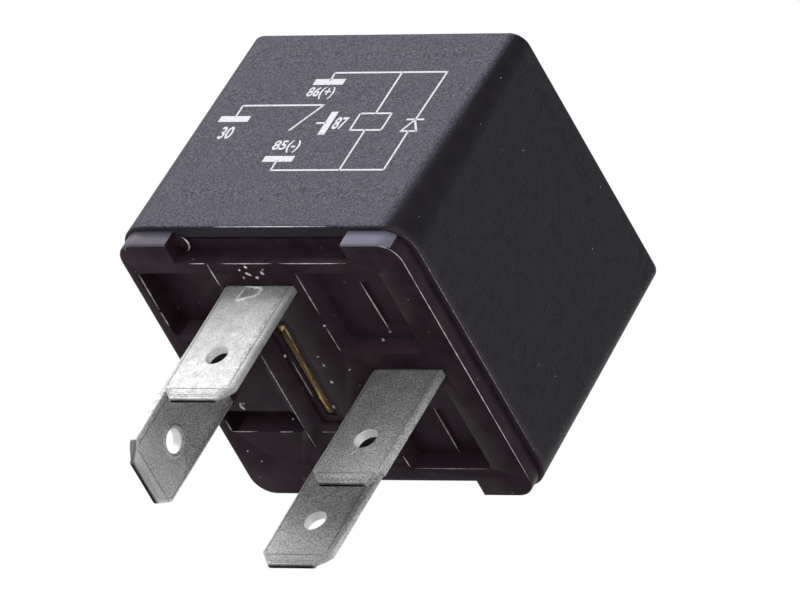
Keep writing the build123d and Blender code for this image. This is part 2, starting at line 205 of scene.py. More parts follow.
def noise(material, scale, detail=2.0, stretch=(1.0, 1.0, 1.0)):
    """Noise in object space, between 0 and 1; a stretch below 1 draws it out along that axis."""
    nodes, links = material.node_tree.nodes, material.node_tree.links
    place = nodes.new("ShaderNodeTexCoord")
    draw = nodes.new("ShaderNodeMapping")
    draw.inputs["Scale"].default_value = stretch
    pattern = nodes.new("ShaderNodeTexNoise")
    pattern.inputs["Scale"].default_value = scale
    pattern.inputs["Detail"].default_value = detail
    links.new(place.outputs["Object"], draw.inputs["Vector"])
    links.new(draw.outputs["Vector"], pattern.inputs["Vector"])
    return pattern.outputs["Fac"]


def stretched(material, value, low, high, out_low=0.0, out_high=1.0):
    """Straight line from (low, out_low) to (high, out_high), level outside."""
    line = material.node_tree.nodes.new("ShaderNodeMapRange")
    for socket, number in zip(("From Min", "From Max", "To Min", "To Max"), (low, high, out_low, out_high)):
        line.inputs[socket].default_value = number
    material.node_tree.links.new(value, line.inputs["Value"])
    return line.outputs["Result"]


# %% Colour, roughness and bump from a pattern


def colour_by(material, value, first, second, over=None):
    """Colour (1 - value) * first + value * second into the shader; over takes an earlier mix as first."""
    nodes, links = material.node_tree.nodes, material.node_tree.links
    mix = nodes.new("ShaderNodeMix")
    mix.data_type = "RGBA"
    links.new(value, mix.inputs[0])
    if over is None:
        mix.inputs[6].default_value = (*first, 1.0)
    else:
        links.new(over, mix.inputs[6])
    mix.inputs[7].default_value = (*second, 1.0)
    links.new(mix.outputs[2], nodes["Principled BSDF"].inputs["Base Color"])
    return mix.outputs[2]


def roughness_by(material, value):
    """Roughness from a value."""
    links = material.node_tree.links
    links.new(value, material.node_tree.nodes["Principled BSDF"].inputs["Roughness"])


def bump_by(material, value, depth, under=None):
    """Bump of that depth in metres, on top of an earlier bump."""
    nodes, links = material.node_tree.nodes, material.node_tree.links
    bump = nodes.new("ShaderNodeBump")
    bump.inputs["Distance"].default_value = depth
    links.new(value, bump.inputs["Height"])
    if under is not None:
        links.new(under, bump.inputs["Normal"])
    links.new(bump.outputs["Normal"], nodes["Principled BSDF"].inputs["Normal"])
    return bump.outputs["Normal"]


# %% [markdown]
# The plastics are black, but never one black. The cover is spark-eroded in the mould, which
# gives a fine dull grain that glows grey where it mirrors the softbox. On its label side a
# painted sheen makes the colour greyer and grainier. It runs on more weakly over the left side,
# the back and the top and fades towards the right, where the side keeps its shade. Painted light
# lifts the shade under the lip. The mesh carries how much of each is where. The base is smoother
# and less glossy, with a purple cast. The fronts of its feet carry a painted sheen, and the walls
# and some floors of its pockets are made paler with painted light against their shade. Both
# plastics carry specks of pale dust.
# Painted images could do this, but they need an unwrapped mesh and blur when the camera comes
# near. Noise in space and numbers carried by the mesh do not.

# %% Carried numbers, products and specks


def carried(material, name):
    """Number that a mesh carries at its points under this name."""
    reader = material.node_tree.nodes.new("ShaderNodeAttribute")
    reader.attribute_name = name
    return reader.outputs["Fac"]


def times(material, first, second):
    """Product of two values."""
    product = material.node_tree.nodes.new("ShaderNodeMath")
    product.operation = "MULTIPLY"
    material.node_tree.links.new(first, product.inputs[0])
    material.node_tree.links.new(second, product.inputs[1])
    return product.outputs[0]


def specks(material, scale, size):
    """1 inside small dots, 0 elsewhere: the distance to the nearest of points strewn in space."""
    nodes, links = material.node_tree.nodes, material.node_tree.links
    place = nodes.new("ShaderNodeTexCoord")
    cells = nodes.new("ShaderNodeTexVoronoi")
    cells.inputs["Scale"].default_value = scale
    links.new(place.outputs["Object"], cells.inputs["Vector"])
    return stretched(material, cells.outputs["Distance"], size * 0.6, size, 1.0, 0.0)


# %% Plastics
cover_plastic = finish("cover_plastic", (0.02, 0.019, 0.022), 0.5, specular=0.12, tint=(0.82, 0.78, 1.0))
cloudy = colour_by(cover_plastic, stretched(cover_plastic, noise(cover_plastic, 900.0, 6.0), 0.35, 0.65),
                   (0.009, 0.0075, 0.0100), (0.014, 0.012, 0.0155))
# Painted sheen: the carried share makes the cover greyer and grainier where the softbox would light it, most
# of all on the label side.
sheen_share = carried(cover_plastic, "painted_sheen")
greyed = colour_by(cover_plastic, sheen_share, None, (0.021, 0.0185, 0.034), over=cloudy)
grain = stretched(cover_plastic, noise(cover_plastic, 7600.0, 4.0), 0.40, 0.66)
sheen_grain = times(cover_plastic, grain, sheen_share)
grainy = colour_by(cover_plastic, sheen_grain, None, (0.105, 0.10, 0.132), over=greyed)
# Painted light: a paler band lifts the shade that falls on the lip and the wall just above it.
lip_lit = colour_by(cover_plastic, carried(cover_plastic, "lip"), None, (0.045, 0.034, 0.042), over=grainy)
colour_by(cover_plastic, specks(cover_plastic, 560.0, 0.035), None, (0.42, 0.41, 0.42), over=lip_lit)
roughness_by(cover_plastic, stretched(cover_plastic, noise(cover_plastic, 5200.0, 3.0), 0.3, 0.7, 0.36, 0.60))
sparked = bump_by(cover_plastic, noise(cover_plastic, 5600.0, 2.0), 0.030 * MM)
bump_by(cover_plastic, noise(cover_plastic, 700.0, 2.0), 0.030 * MM, under=sparked)

base_plastic = finish("base_plastic", (0.03, 0.018, 0.026), 0.3, specular=0.06, tint=(0.90, 0.80, 1.0))
smoky = colour_by(base_plastic, stretched(base_plastic, noise(base_plastic, 600.0, 5.0), 0.35, 0.65),
                  (0.023, 0.0133, 0.0182), (0.037, 0.0218, 0.0295))
# Painted light: pocket walls and some pocket floors are made paler to lift the shade inside the pockets.
pocket_fill_colour = colour_by(base_plastic, carried(base_plastic, "pocket_fill_light"), None, (0.11, 0.07, 0.092), over=smoky)
# Painted sheen: the fronts of the feet, which face the softbox, are made pale grey in colour.
foot_sheen_colour = colour_by(base_plastic, carried(base_plastic, "foot_sheen"), None, (0.19, 0.185, 0.24), over=pocket_fill_colour)
colour_by(base_plastic, specks(base_plastic, 800.0, 0.045), None, (0.40, 0.37, 0.39), over=foot_sheen_colour)
roughness_by(base_plastic, stretched(base_plastic, noise(base_plastic, 2600.0, 4.0), 0.3, 0.7, 0.26, 0.40))
moulded = bump_by(base_plastic, noise(base_plastic, 4200.0, 3.0), 0.010 * MM)
bump_by(base_plastic, noise(base_plastic, 500.0, 2.0), 0.040 * MM, under=moulded)
print("plastics:", cover_plastic.name, base_plastic.name)

# %% [markdown]
# The blades are stamped from tinned brass strip. Tin is pale, soft and dull: it takes a fine
# dark grain, and it is rubbed thin in streaks beside the long edges, where the socket grips.
# The sheared faces at the tips are bare and dark, and the creases of the coining are darkened
# as painted shade. The walls of the holes and some tip bevels carry a painted highlight, and
# painted light makes the tin paler between its grains above the tips. These places are carried
# by the mesh. A fully metallic shader would mirror the studio like chrome, so this one is half
# metallic and keeps a dull body of its own. Three copies of the tin are on the four terminals:
# a plain one, a paler one that is painted light and a darker, grittier one that is painted shade.

# %% Tin plate


def tin_plate(name, level, grit):
    """Tin that reflects this share of the light, with clouds, grain that is dark by the share
    grit, rubbed streaks, dark cuts, painted shade in creases, a painted highlight on hole walls
    and tip bevels, and painted light on the tip."""
    tin = finish(name, (level, level, level), 0.55, metallic=0.55)
    pale, dull, dark = (np.array((level, level, level * 1.008)) * share for share in (1.10, 0.84, 1 - grit))
    greys = colour_by(tin, stretched(tin, noise(tin, 700.0, 5.0), 0.34, 0.66), tuple(dull), tuple(pale))
    fine = noise(tin, 7800.0, 5.0)
    grained = colour_by(tin, stretched(tin, fine, 0.42, 0.64), None, tuple(dark), over=greys)
    streaks = stretched(tin, noise(tin, 5200.0, 4.0), 0.48, 0.60)
    rubbed = colour_by(tin, times(tin, streaks, carried(tin, "rub")), None, (0.22, 0.22, 0.225), over=grained)
    # Painted light on the tip, paler between the grains.
    between_grains = stretched(tin, fine, 0.42, 0.64, 1.0, 0.30)
    lit_tip_tin = times(tin, between_grains, carried(tin, "tip_light"))
    paler = colour_by(tin, lit_tip_tin, None, (0.97, 0.97, 0.98), over=rubbed)
    # Dark cut faces, with painted shade in the creases.
    cut_and_crease_colour = colour_by(tin, carried(tin, "cut_and_crease_shade"), None, (0.16, 0.16, 0.162), over=paler)
    # Painted highlight on hole walls and tip bevels.
    colour_by(tin, carried(tin, "painted_highlight"), None, (0.97, 0.97, 0.97), over=cut_and_crease_colour)
    roughness_by(tin, stretched(tin, noise(tin, 1500.0, 5.0), 0.3, 0.7, 0.46, 0.64))
    rolled = bump_by(tin, noise(tin, 7400.0, 3.0), 0.060 * MM)
    bump_by(tin, noise(tin, 1300.0, 3.0), 0.050 * MM, under=rolled)
    return tin


clean_tin = tin_plate("clean_tin_plate", 0.59, 0.28)
# Painted shade: a darker, grittier copy for terminal 30. Painted light: a paler copy for terminals 86 and 87.
shaded_gritty_tin = tin_plate("shaded_gritty_tin_plate", 0.54, 0.64)
lit_tin = tin_plate("lit_tin_plate", 0.79, 0.60)
print("tin:", clean_tin.name, shaded_gritty_tin.name, lit_tin.name)

# %% [markdown]
# The hidden pieces have finishes of their own: zinc-plated iron, raw brass, spring bronze,
# silver contact faces, copper rivets, white bobbin nylon, red enamelled wire under clear
# amber tape, and a black epoxy diode. Only the brass shows from outside, in the middle slot.
# Each could have a function of its own, but they differ only in colours and scales, so one
# function makes them all.

# %% Mottled finish


def mottled(name, colour, roughness, clouds, dark, pale, grain, sheen=None, spread=(0.3, 0.7),
            metallic=0.0, specular=0.5):
    """Finish whose colour drifts between dark and pale in clouds (scale, detail). Its roughness
    may drift as sheen (scale, detail, lowest, highest), and its surface has a grain (scale,
    detail, depth in mm and, where it is drawn out, stretch)."""
    made = finish(name, colour, roughness, metallic, specular)
    colour_by(made, stretched(made, noise(made, *clouds), *spread), dark, pale)
    if sheen:
        roughness_by(made, stretched(made, noise(made, *sheen[:2]), 0.3, 0.7, *sheen[2:]))
    grain_scale, grain_detail, depth, *drawn_out = grain
    bump_by(made, noise(made, grain_scale, grain_detail, *drawn_out), depth * MM)
    return made


# %% Metals inside
brass = mottled("brass_strip", (0.12, 0.07, 0.02), 0.5, metallic=0.7,
                clouds=(2500.0, 5.0), dark=(0.045, 0.022, 0.009), pale=(0.17, 0.095, 0.026),
                sheen=(1800.0, 4.0, 0.26, 0.44), grain=(4800.0, 3.0, 0.010))
iron = mottled("zinc_plated_iron", (0.56, 0.57, 0.58), 0.4, metallic=1.0,
               clouds=(1600.0, 6.0), dark=(0.44, 0.45, 0.47), pale=(0.64, 0.65, 0.66),
               sheen=(2400.0, 4.0, 0.32, 0.5), grain=(3800.0, 4.0, 0.014))
bronze = mottled("spring_bronze", (0.62, 0.38, 0.22), 0.3, metallic=1.0,
                 clouds=(1400.0, 5.0), dark=(0.50, 0.28, 0.15), pale=(0.68, 0.44, 0.27),
                 sheen=(2600.0, 3.0, 0.36, 0.52), grain=(5200.0, 2.0, 0.006, (0.3, 1.0, 0.3)))
silver = mottled("contact_silver", (0.80, 0.79, 0.77), 0.28, metallic=1.0,
                 clouds=(2200.0, 5.0), dark=(0.62, 0.61, 0.59), pale=(0.86, 0.85, 0.83),
                 sheen=(3000.0, 3.0, 0.2, 0.4), grain=(4600.0, 3.0, 0.006))
copper = mottled("rivet_copper", (0.72, 0.40, 0.28), 0.32, metallic=1.0,
                 clouds=(1900.0, 5.0), dark=(0.55, 0.27, 0.17), pale=(0.78, 0.46, 0.33),
                 sheen=(2600.0, 3.0, 0.24, 0.42), grain=(4200.0, 3.0, 0.008))
solder = mottled("tinned_wire", (0.70, 0.70, 0.71), 0.3, metallic=1.0,
                 clouds=(2600.0, 4.0), dark=(0.56, 0.56, 0.58), pale=(0.78, 0.78, 0.79),
                 sheen=(3400.0, 3.0, 0.22, 0.4), grain=(3600.0, 3.0, 0.008))
print("metals:", *(metal.name for metal in (brass, iron, bronze, silver, copper, solder)))

# %% Insulation inside
nylon = mottled("bobbin_nylon", (0.72, 0.70, 0.64), 0.45,
                clouds=(700.0, 5.0), dark=(0.66, 0.64, 0.57), pale=(0.77, 0.75, 0.70),
                sheen=(2400.0, 3.0, 0.36, 0.55), grain=(3000.0, 3.0, 0.012))
enamel = mottled("enamelled_copper", (0.42, 0.11, 0.03), 0.25, metallic=0.6, specular=0.6,
                 clouds=(1500.0, 4.0), dark=(0.32, 0.075, 0.02), pale=(0.55, 0.18, 0.06),
                 sheen=(2600.0, 3.0, 0.18, 0.34), grain=(5200.0, 2.0, 0.006))
tape = mottled("amber_tape", (0.46, 0.24, 0.05), 0.3,
               clouds=(900.0, 5.0), dark=(0.38, 0.18, 0.03), pale=(0.55, 0.31, 0.08),
               sheen=(1800.0, 3.0, 0.2, 0.4), grain=(1500.0, 3.0, 0.020, (1.0, 1.0, 0.3)))
epoxy = mottled("diode_epoxy", (0.018, 0.018, 0.019), 0.35,
                clouds=(1500.0, 5.0), dark=(0.012, 0.012, 0.013), pale=(0.028, 0.027, 0.028),
                sheen=(2800.0, 3.0, 0.28, 0.46), grain=(3600.0, 3.0, 0.010))
band_paint = mottled("band_paint", (0.66, 0.66, 0.68), 0.5,
                     clouds=(2400.0, 5.0), dark=(0.55, 0.55, 0.57), pale=(0.72, 0.72, 0.74),
                     grain=(5200.0, 2.0, 0.004))
print(len(bpy.data.materials), "materials")

# %% [markdown]
# A moulded or stamped shape could be built from primitives and edited by hand. Here each new
# piece is a tube of rings instead: rows and columns of points worked out as one numpy array.
# The rings close on themselves. The tube closes either by joining its last ring to its first
# or by a fan of triangles round the middle of each end ring.

# %% From grids of points to a mesh


def grid_faces(rows, columns, around):
    """Quads between neighbours of a rows x columns grid that wraps in its columns,
    and with around also in its rows. Point (row, column) has number row * columns + column."""
    row, column = np.divmod(np.arange((rows if around else rows - 1) * columns), columns)
    below, beside = (row + 1) % rows, (column + 1) % columns
    return np.stack((row * columns + column, row * columns + beside,
                     below * columns + beside, below * columns + column), axis=1)


def closed_faces(rows, columns, around):
    """Quads and, without around, the two fans; their middle points come after the grid."""
    quads = grid_faces(rows, columns, around)
    if around:
        return quads, np.empty((0, 3), int)
    ring = np.arange(columns)
    following = (ring + 1) % columns
    last = (rows - 1) * columns
    pole = np.full(columns, rows * columns)
    return quads, np.concatenate((np.stack((pole, following, ring), axis=1),
                                  np.stack((pole + 1, last + ring, last + following), axis=1)))


def volume(points, triangles):
    """Sum of a . (b x c) / 6 over the triangles; it is positive where they face outwards."""
    a, b, c = (points[triangles[:, k]] for k in range(3))
    return float(np.einsum("ij,ij->i", a, np.cross(b, c)).sum() / 6)


def solid(name, grids, around=False, smooth=35.0):
    """Closed mesh object from grids of points in millimetres, turned outwards,
    with creases sharper than smooth degrees."""
    points, faces, count = [], [], 0
    for grid in grids:
        cloud = grid.reshape(-1, 3)
        if not around:
            cloud = np.concatenate((cloud, grid[:1].mean(axis=1), grid[-1:].mean(axis=1)))
        quads, fans = closed_faces(*grid.shape[:2], around)
        triangles = np.concatenate((quads[:, [0, 1, 2]], quads[:, [0, 2, 3]], fans))
        turn = 1 if volume(cloud, triangles) > 0 else -1
        faces += (quads[:, ::turn] + count).tolist() + (fans[:, ::turn] + count).tolist()
        points.append(cloud)
        count += len(cloud)
    mesh = bpy.data.meshes.new(name)
    mesh.from_pydata((np.concatenate(points) * MM).tolist(), [], faces)
    mesh.shade_smooth()
    mesh.set_sharp_from_angle(angle=math.radians(smooth))
    piece = bpy.data.objects.new(name, mesh)
    bpy.context.scene.collection.objects.link(piece)
    print(name, "has", len(faces), "faces")
    return piece


# %% Finish, body and carried numbers of a piece


def stands_for(piece, node, material, body="relay"):
    """Gives a finished piece its finish and its body, and hides the CAD node that it stands for."""
    piece.data.materials.clear()
    piece.data.materials.append(material)
    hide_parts(node)
    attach(piece, body)


def stands_alone(piece, material):
    """Gives a piece that stands for no CAD node its finish, and fixes it to the relay."""
    piece.data.materials.append(material)
    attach(piece, "relay")


def carry(piece, name, values, domain="POINT"):
    """Puts one number on each point or face of the mesh, for a finish to read by this name."""
    layer = piece.data.attributes.new(name, "FLOAT", domain)
    layer.data.foreach_set("value", values.ravel().astype(np.float32))


# %% [markdown]
# The cover is a cap moulded in one piece, with walls 1.1 mm thick that lean in by 2.1
# degrees, so that it leaves the mould. It could be a cube with Bevel and Solidify modifiers,
# but its corners get tighter towards the top, and that is easier row by row. So its surface is
# one closed sheet: from the middle of the top over the rounded edge, down the outside, round
# the lip and back up the inside.

# %% Rounded squares
COVER_HALF, COVER_WALL, TOP_ROUND, LIP_ROUND = 13.1, 1.1, 0.3, 0.13
CORNER_LOW, CORNER_TOP = 2.6, 1.3
LEAN_ANGLE = 2.1
cover_low, cover_high = (np.array(corner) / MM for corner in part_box("cover"))
LIP_Z, TOP_Z = cover_low[2], cover_high[2]
LEAN = math.tan(math.radians(LEAN_ANGLE))
print("cover reaches from z", round(float(LIP_Z), 2), "to", round(float(TOP_Z), 2), "mm")


def squared_rings(half, corner, height, per_corner=12, per_side=60):
    """Ring of a rounded square for each row, as complex numbers in plan: (half - corner) * c +
    corner * n, where c walks round the corners of the unit square and n is the outward normal."""
    turn = np.radians(np.concatenate((np.linspace(0, 90, per_corner + 1), np.full(per_side - 1, 90.0))))
    along = np.concatenate((np.ones(per_corner + 1), np.linspace(1, -1, per_side + 1)[1:-1]))
    quarters = 1j ** np.arange(4)[:, None]
    centres = (quarters * (along + 1j)).ravel()
    normals = (quarters * np.exp(1j * turn)).ravel()
    plan = (half - corner)[:, None] * centres + corner[:, None] * normals
    return np.stack((plan.real, plan.imag, np.broadcast_to(height[:, None], plan.shape)), axis=2)


def outer_half(height):
    """Half width of the outside at a height: it loses tan(2.1 degrees) for each millimetre."""
    return COVER_HALF - (height - LIP_Z) * LEAN


def outer_corner(height):
    """Corner radius: 2.6 mm at the lip, tighter by a straight line to 1.3 mm at the top."""
    return CORNER_LOW - (CORNER_LOW - CORNER_TOP) * (height - LIP_Z) / (TOP_Z - LIP_Z)


# %% Cover
arc = np.radians(np.linspace(90, LEAN_ANGLE, 9))
round_z = TOP_Z - TOP_ROUND
edge_half = outer_half(round_z) - TOP_ROUND + TOP_ROUND * np.cos(arc)
edge_z = round_z + TOP_ROUND * np.sin(arc)
flat = np.linspace(0.15, 0.98, 5)
wall_z = np.linspace(round_z - 0.4, LIP_Z + LIP_ROUND + 0.5, 9)
lip = np.radians(np.linspace(0, -90, 5))
inner_z = np.concatenate(((LIP_Z + LIP_ROUND, LIP_Z + 0.6), np.linspace(LIP_Z + 1, TOP_Z - COVER_WALL, 8)))
inner_half = COVER_HALF - COVER_WALL - (inner_z - LIP_Z) * LEAN

half = np.concatenate((flat * edge_half[0], edge_half, outer_half(wall_z),
                       COVER_HALF - LIP_ROUND + LIP_ROUND * np.cos(lip),
                       COVER_HALF - COVER_WALL + LIP_ROUND - LIP_ROUND * np.cos(lip[::-1]),
                       inner_half[1:], flat[::-1] * inner_half[-1]))
height = np.concatenate((np.full(5, TOP_Z), edge_z, wall_z,
                         LIP_Z + LIP_ROUND + LIP_ROUND * np.sin(lip),
                         LIP_Z + LIP_ROUND + LIP_ROUND * np.sin(lip[::-1]),
                         inner_z[1:], np.full(5, inner_z[-1])))
corner = np.maximum(outer_corner(height) - (outer_half(height) - half), 0.05 * half)
rings = squared_rings(half, corner, height)
print("cover has", rings.shape[0], "rings of", rings.shape[1], "points")

# %% [markdown]
# Between the feet at the back, the lip stands 0.45 mm higher. A Boolean cut would leave long
# thin faces, so the grid is raised there instead: fully at the lip, and less and less up to
# 0.65 mm above it.

# %% Raised lip at the back
BACK_REACH, RELIEF = 7.87, 0.45
across = np.clip((BACK_REACH - np.abs(rings[..., 0])) / 0.4, 0, 1)
share = across * (rings[..., 1] > 11) * np.clip(1 - (rings[..., 2] - LIP_Z - 0.2) / 0.45, 0, 1)
rings[..., 2] += RELIEF * share
cover = solid("cover_shell", [rings], smooth=40.0)

# %% Painted sheen on the sides and painted light under the lip
LABEL_REACH, LABEL_INSET = 12.4, 0.20
FADE_REACH = 12.0
SIDE_SHARE, TOP_SHARE = 0.5, 0.2
x, y, z = rings[..., 0], rings[..., 1], rings[..., 2]
# Painted sheen share: full on the label side, half on the other sides and a fifth on the top, fading out
# towards the right side, which stays in shade.
painted_sheen = np.clip(1 - (y + outer_half(z)) / LABEL_INSET, 0, 1) * (np.abs(x) < LABEL_REACH)
other_sides = np.where(z < TOP_Z - 0.1, SIDE_SHARE, TOP_SHARE)
sheen_fading = other_sides * np.clip((FADE_REACH - x) / (2 * FADE_REACH), 0, 1)
# Painted light band: full up to 0.24 mm above the lip and gone at 0.32 mm, except on the outside of the
# front.
lip_fill_light = np.clip((LIP_Z + 0.32 - z) / 0.08, 0, 1) * (y > -12.9)
middles = (0, 0)
carry(cover, "painted_sheen", np.append(np.maximum(painted_sheen, sheen_fading), middles))
carry(cover, "lip", np.append(lip_fill_light, middles))
print("grey and lip are carried by", len(cover.data.vertices), "points of the cover")
stands_for(cover, "cover", cover_plastic)

# %% [markdown]
# The wiring diagram is pad printed: one pass of pale ink a hundredth of a millimetre thick. It
# could be an image, but thin meshes stay sharp however near the camera comes. Each line is a
# thin bar in the plane of the label side, and the terminal numbers are text turned into a
# mesh. Both are laid on the leaning wall by one function. The list gives x, z of both ends and
# the width.

# %% Printed lines
LINE, BAR = 0.17, 0.62
INK_IN, INK_OUT = -0.03, 0.012
strokes = np.array((
    (-9.95, 13.14, -7.25, 13.14, BAR), (-8.62, 13.37, -8.63, 14.59, LINE), (-8.63, 14.59, -1.31, 14.59, LINE),
    (-1.31, 14.59, -2.92, 11.90, LINE), (-3.56, 17.11, -0.86, 17.11, BAR), (-2.21, 17.32, -2.22, 18.10, LINE),
    (-2.22, 18.10, 7.87, 18.10, LINE), (7.87, 18.10, 7.84, 12.95, LINE), (7.11, 12.95, 8.51, 12.95, LINE),
    (7.18, 11.69, 8.57, 11.69, LINE), (7.18, 11.69, 7.80, 12.91, LINE), (8.57, 11.69, 7.80, 12.91, LINE),
    (7.86, 11.69, 7.94, 7.54, LINE), (2.53, 11.84, 5.35, 11.84, LINE), (2.51, 13.64, 5.33, 13.64, LINE),
    (2.53, 11.84, 2.51, 13.64, LINE), (5.35, 11.84, 5.33, 13.64, LINE), (3.88, 13.64, 3.82, 18.10, LINE),
    (3.90, 11.84, 3.96, 7.54, LINE), (-2.22, 7.54, 7.94, 7.54, LINE), (-3.53, 8.77, -0.83, 8.77, BAR),
    (-2.23, 8.50, -2.22, 7.54, LINE), (0.17, 11.36, 0.14, 13.85, BAR), (-0.84, 12.63, -0.06, 12.63, LINE)))


def on_label(x, z, lift):
    """Point of the leaning label wall: y goes back by the lean and out by the lift."""
    return np.stack((x, -outer_half(z) - lift, z + lift * LEAN), axis=-1)


start, end, width = strokes[:, 0:2], strokes[:, 2:4], strokes[:, 4:5]
along = (end - start) / np.linalg.norm(end - start, axis=1, keepdims=True)
across = np.stack((-along[:, 1], along[:, 0]), axis=1) * width / 2
reach = along * LINE / 2 * (width == LINE)
flat_corners = np.stack((start - reach - across, end + reach - across,
                         end + reach + across, start - reach + across), axis=1)
ink = np.stack([on_label(flat_corners[..., 0], flat_corners[..., 1], lift)
                for lift in (INK_IN, INK_OUT)], axis=1)
printed_lines = solid("printed_lines", list(ink), smooth=30.0)

# %% Printed numbers
DIGIT_HEIGHT = 1.32


def printed_text(words, x, z, width):
    """Text made a solid mesh, stretched to its width and height, then laid on the label wall.
    Its own thickness becomes the ink: the back goes into the wall, the front stands proud."""
    curve = bpy.data.curves.new(words, "FONT")
    curve.body = words
    curve.extrude = 0.1
    curve.offset = 0.022
    curve.resolution_u = 4
    writing = bpy.data.objects.new(words, curve)
    bpy.context.scene.collection.objects.link(writing)
    mesh = bpy.data.meshes.new_from_object(writing.evaluated_get(bpy.context.evaluated_depsgraph_get()))
    bpy.data.objects.remove(writing)
    points = np.empty(len(mesh.vertices) * 3)
    mesh.vertices.foreach_get("co", points)
    points = points.reshape(-1, 3)
    low, high = points.min(axis=0), points.max(axis=0)
    share = (points - (low + high) / 2) / (high - low)
    lift = np.where(share[:, 2] > 0, INK_OUT, INK_IN)
    placed = on_label(x + share[:, 0] * width, z + share[:, 1] * DIGIT_HEIGHT, lift) * MM
    mesh.vertices.foreach_set("co", placed.ravel())
    return mesh


numbers = bmesh.new()
for words, x, z, width in (("30", -8.49, 11.64, 1.15), ("87", 1.26, 12.60, 1.12),
                           ("86(+)", -2.35, 15.90, 2.4), ("85(-)", -2.24, 10.11, 2.4)):
    numbers.from_mesh(printed_text(words, x, z, width))
bmesh.ops.remove_doubles(numbers, verts=numbers.verts, dist=0.002 * MM)
bmesh.ops.recalc_face_normals(numbers, faces=numbers.faces)
number_mesh = bpy.data.meshes.new("printed_numbers")
numbers.to_mesh(number_mesh)
numbers.free()
printed_numbers = bpy.data.objects.new("printed_numbers", number_mesh)
bpy.context.scene.collection.objects.link(printed_numbers)
print("numbers have", len(number_mesh.polygons), "faces")

# %% Ink
label_ink = mottled("label_ink", (0.74, 0.74, 0.80), 0.55, specular=0.3,
                    clouds=(5200.0, 4.0), spread=(0.28, 0.52),
                    dark=(0.52, 0.52, 0.57), pale=(0.80, 0.80, 0.86), grain=(5200.0, 2.0, 0.012))
for printed in (printed_lines, printed_numbers):
    printed.data.materials.clear()
    stands_alone(printed, label_ink)
print(label_ink.name, "stands", INK_OUT, "mm proud of the label side")

# %% [markdown]
# The base is the part with the most mould work: pockets, ribs, a notch on two sides and a
# slot for each blade. Its CAD solid has the right form, but every edge is perfectly sharp,
# and real edges catch the light. So it is copied, its loose triangles are merged, flat faces
# are joined, and a Bevel modifier rounds each edge by some hundredths of a millimetre. Its
# painted sheen and painted light are numbers on each face, chosen by where the face lies and
# which way it looks.

# %% Softened copies of CAD solids


def softened(node, width, material, body="relay", segments=2):
    """Copy of a CAD node with merged vertices, joined flat faces and small round edges."""
    copy = bmesh.new()
    copy.from_mesh(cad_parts[node].data)
    bmesh.ops.remove_doubles(copy, verts=copy.verts, dist=0.001 * MM)
    bmesh.ops.dissolve_limit(copy, angle_limit=math.radians(0.5), verts=copy.verts, edges=copy.edges)
    mesh = bpy.data.meshes.new(node + "_softened")
    copy.to_mesh(mesh)
    copy.free()
    mesh.shade_smooth()
    piece = bpy.data.objects.new(node + "_softened", mesh)
    bpy.context.scene.collection.objects.link(piece)
    edges = piece.modifiers.new("round_edges", "BEVEL")
    edges.width = width * MM
    edges.segments = segments
    edges.limit_method = "ANGLE"
    edges.angle_limit = math.radians(32)
    edges.harden_normals = True
    stands_for(piece, node, material, body)
    print(piece.name, "has", len(mesh.polygons), "faces before its edges are rounded")
    return piece


base = softened("base", 0.06, base_plastic)

# %% Painted sheen on the feet and painted light in the pockets


def face_values(mesh, name):
    """Three numbers per face, such as its centre or its normal, as an array."""
    values = np.empty(len(mesh.polygons) * 3)
    mesh.polygons.foreach_get(name, values)
    return values.reshape(-1, 3)


FOOT_FRONT, FOOT_TOP = -12.3, 1.3
POCKETS_REACH, PAD_RIGHT = 10.75, 2.0
centre, normal = face_values(base.data, "center") / MM, face_values(base.data, "normal")
# Painted sheen share: the fronts of the feet, full on the right and about half on the left.
on_foot = (centre[:, 1] < FOOT_FRONT) * (centre[:, 2] < FOOT_TOP) * (normal[:, 1] < -0.5)
foot_sheen = on_foot * np.where(centre[:, 0] > 0, 1.0, 0.55)
# Painted light share: 0.42 on upright walls inside the pockets and 0.2 on the downward floors right of the
# middle pad.
inside = (np.abs(centre[:, :2]).max(axis=1) < POCKETS_REACH) * (centre[:, 2] > 0.1) * (centre[:, 2] < 5)
upright = inside * (np.abs(normal[:, 2]) < 0.5)
pocket_floor = inside * (normal[:, 2] < -0.5) * (centre[:, 0] > PAD_RIGHT)
carry(base, "foot_sheen", foot_sheen, "FACE")
carry(base, "pocket_fill_light", 0.42 * upright + 0.2 * pocket_floor, "FACE")
print("worn faces", int((foot_sheen > 0).sum()), "pocket walls", int(upright.sum()))

# %% [markdown]
# Along edges of the base and the front lip of the cover run thin pale lines, painted highlights
# where the edges catch the light. A texture would have to find them on the surface, but a low
# pale ridge is laid there by its two ends: a flat tube that tapers to nothing at both. The
# list gives x, y of both ends, then z and the width.

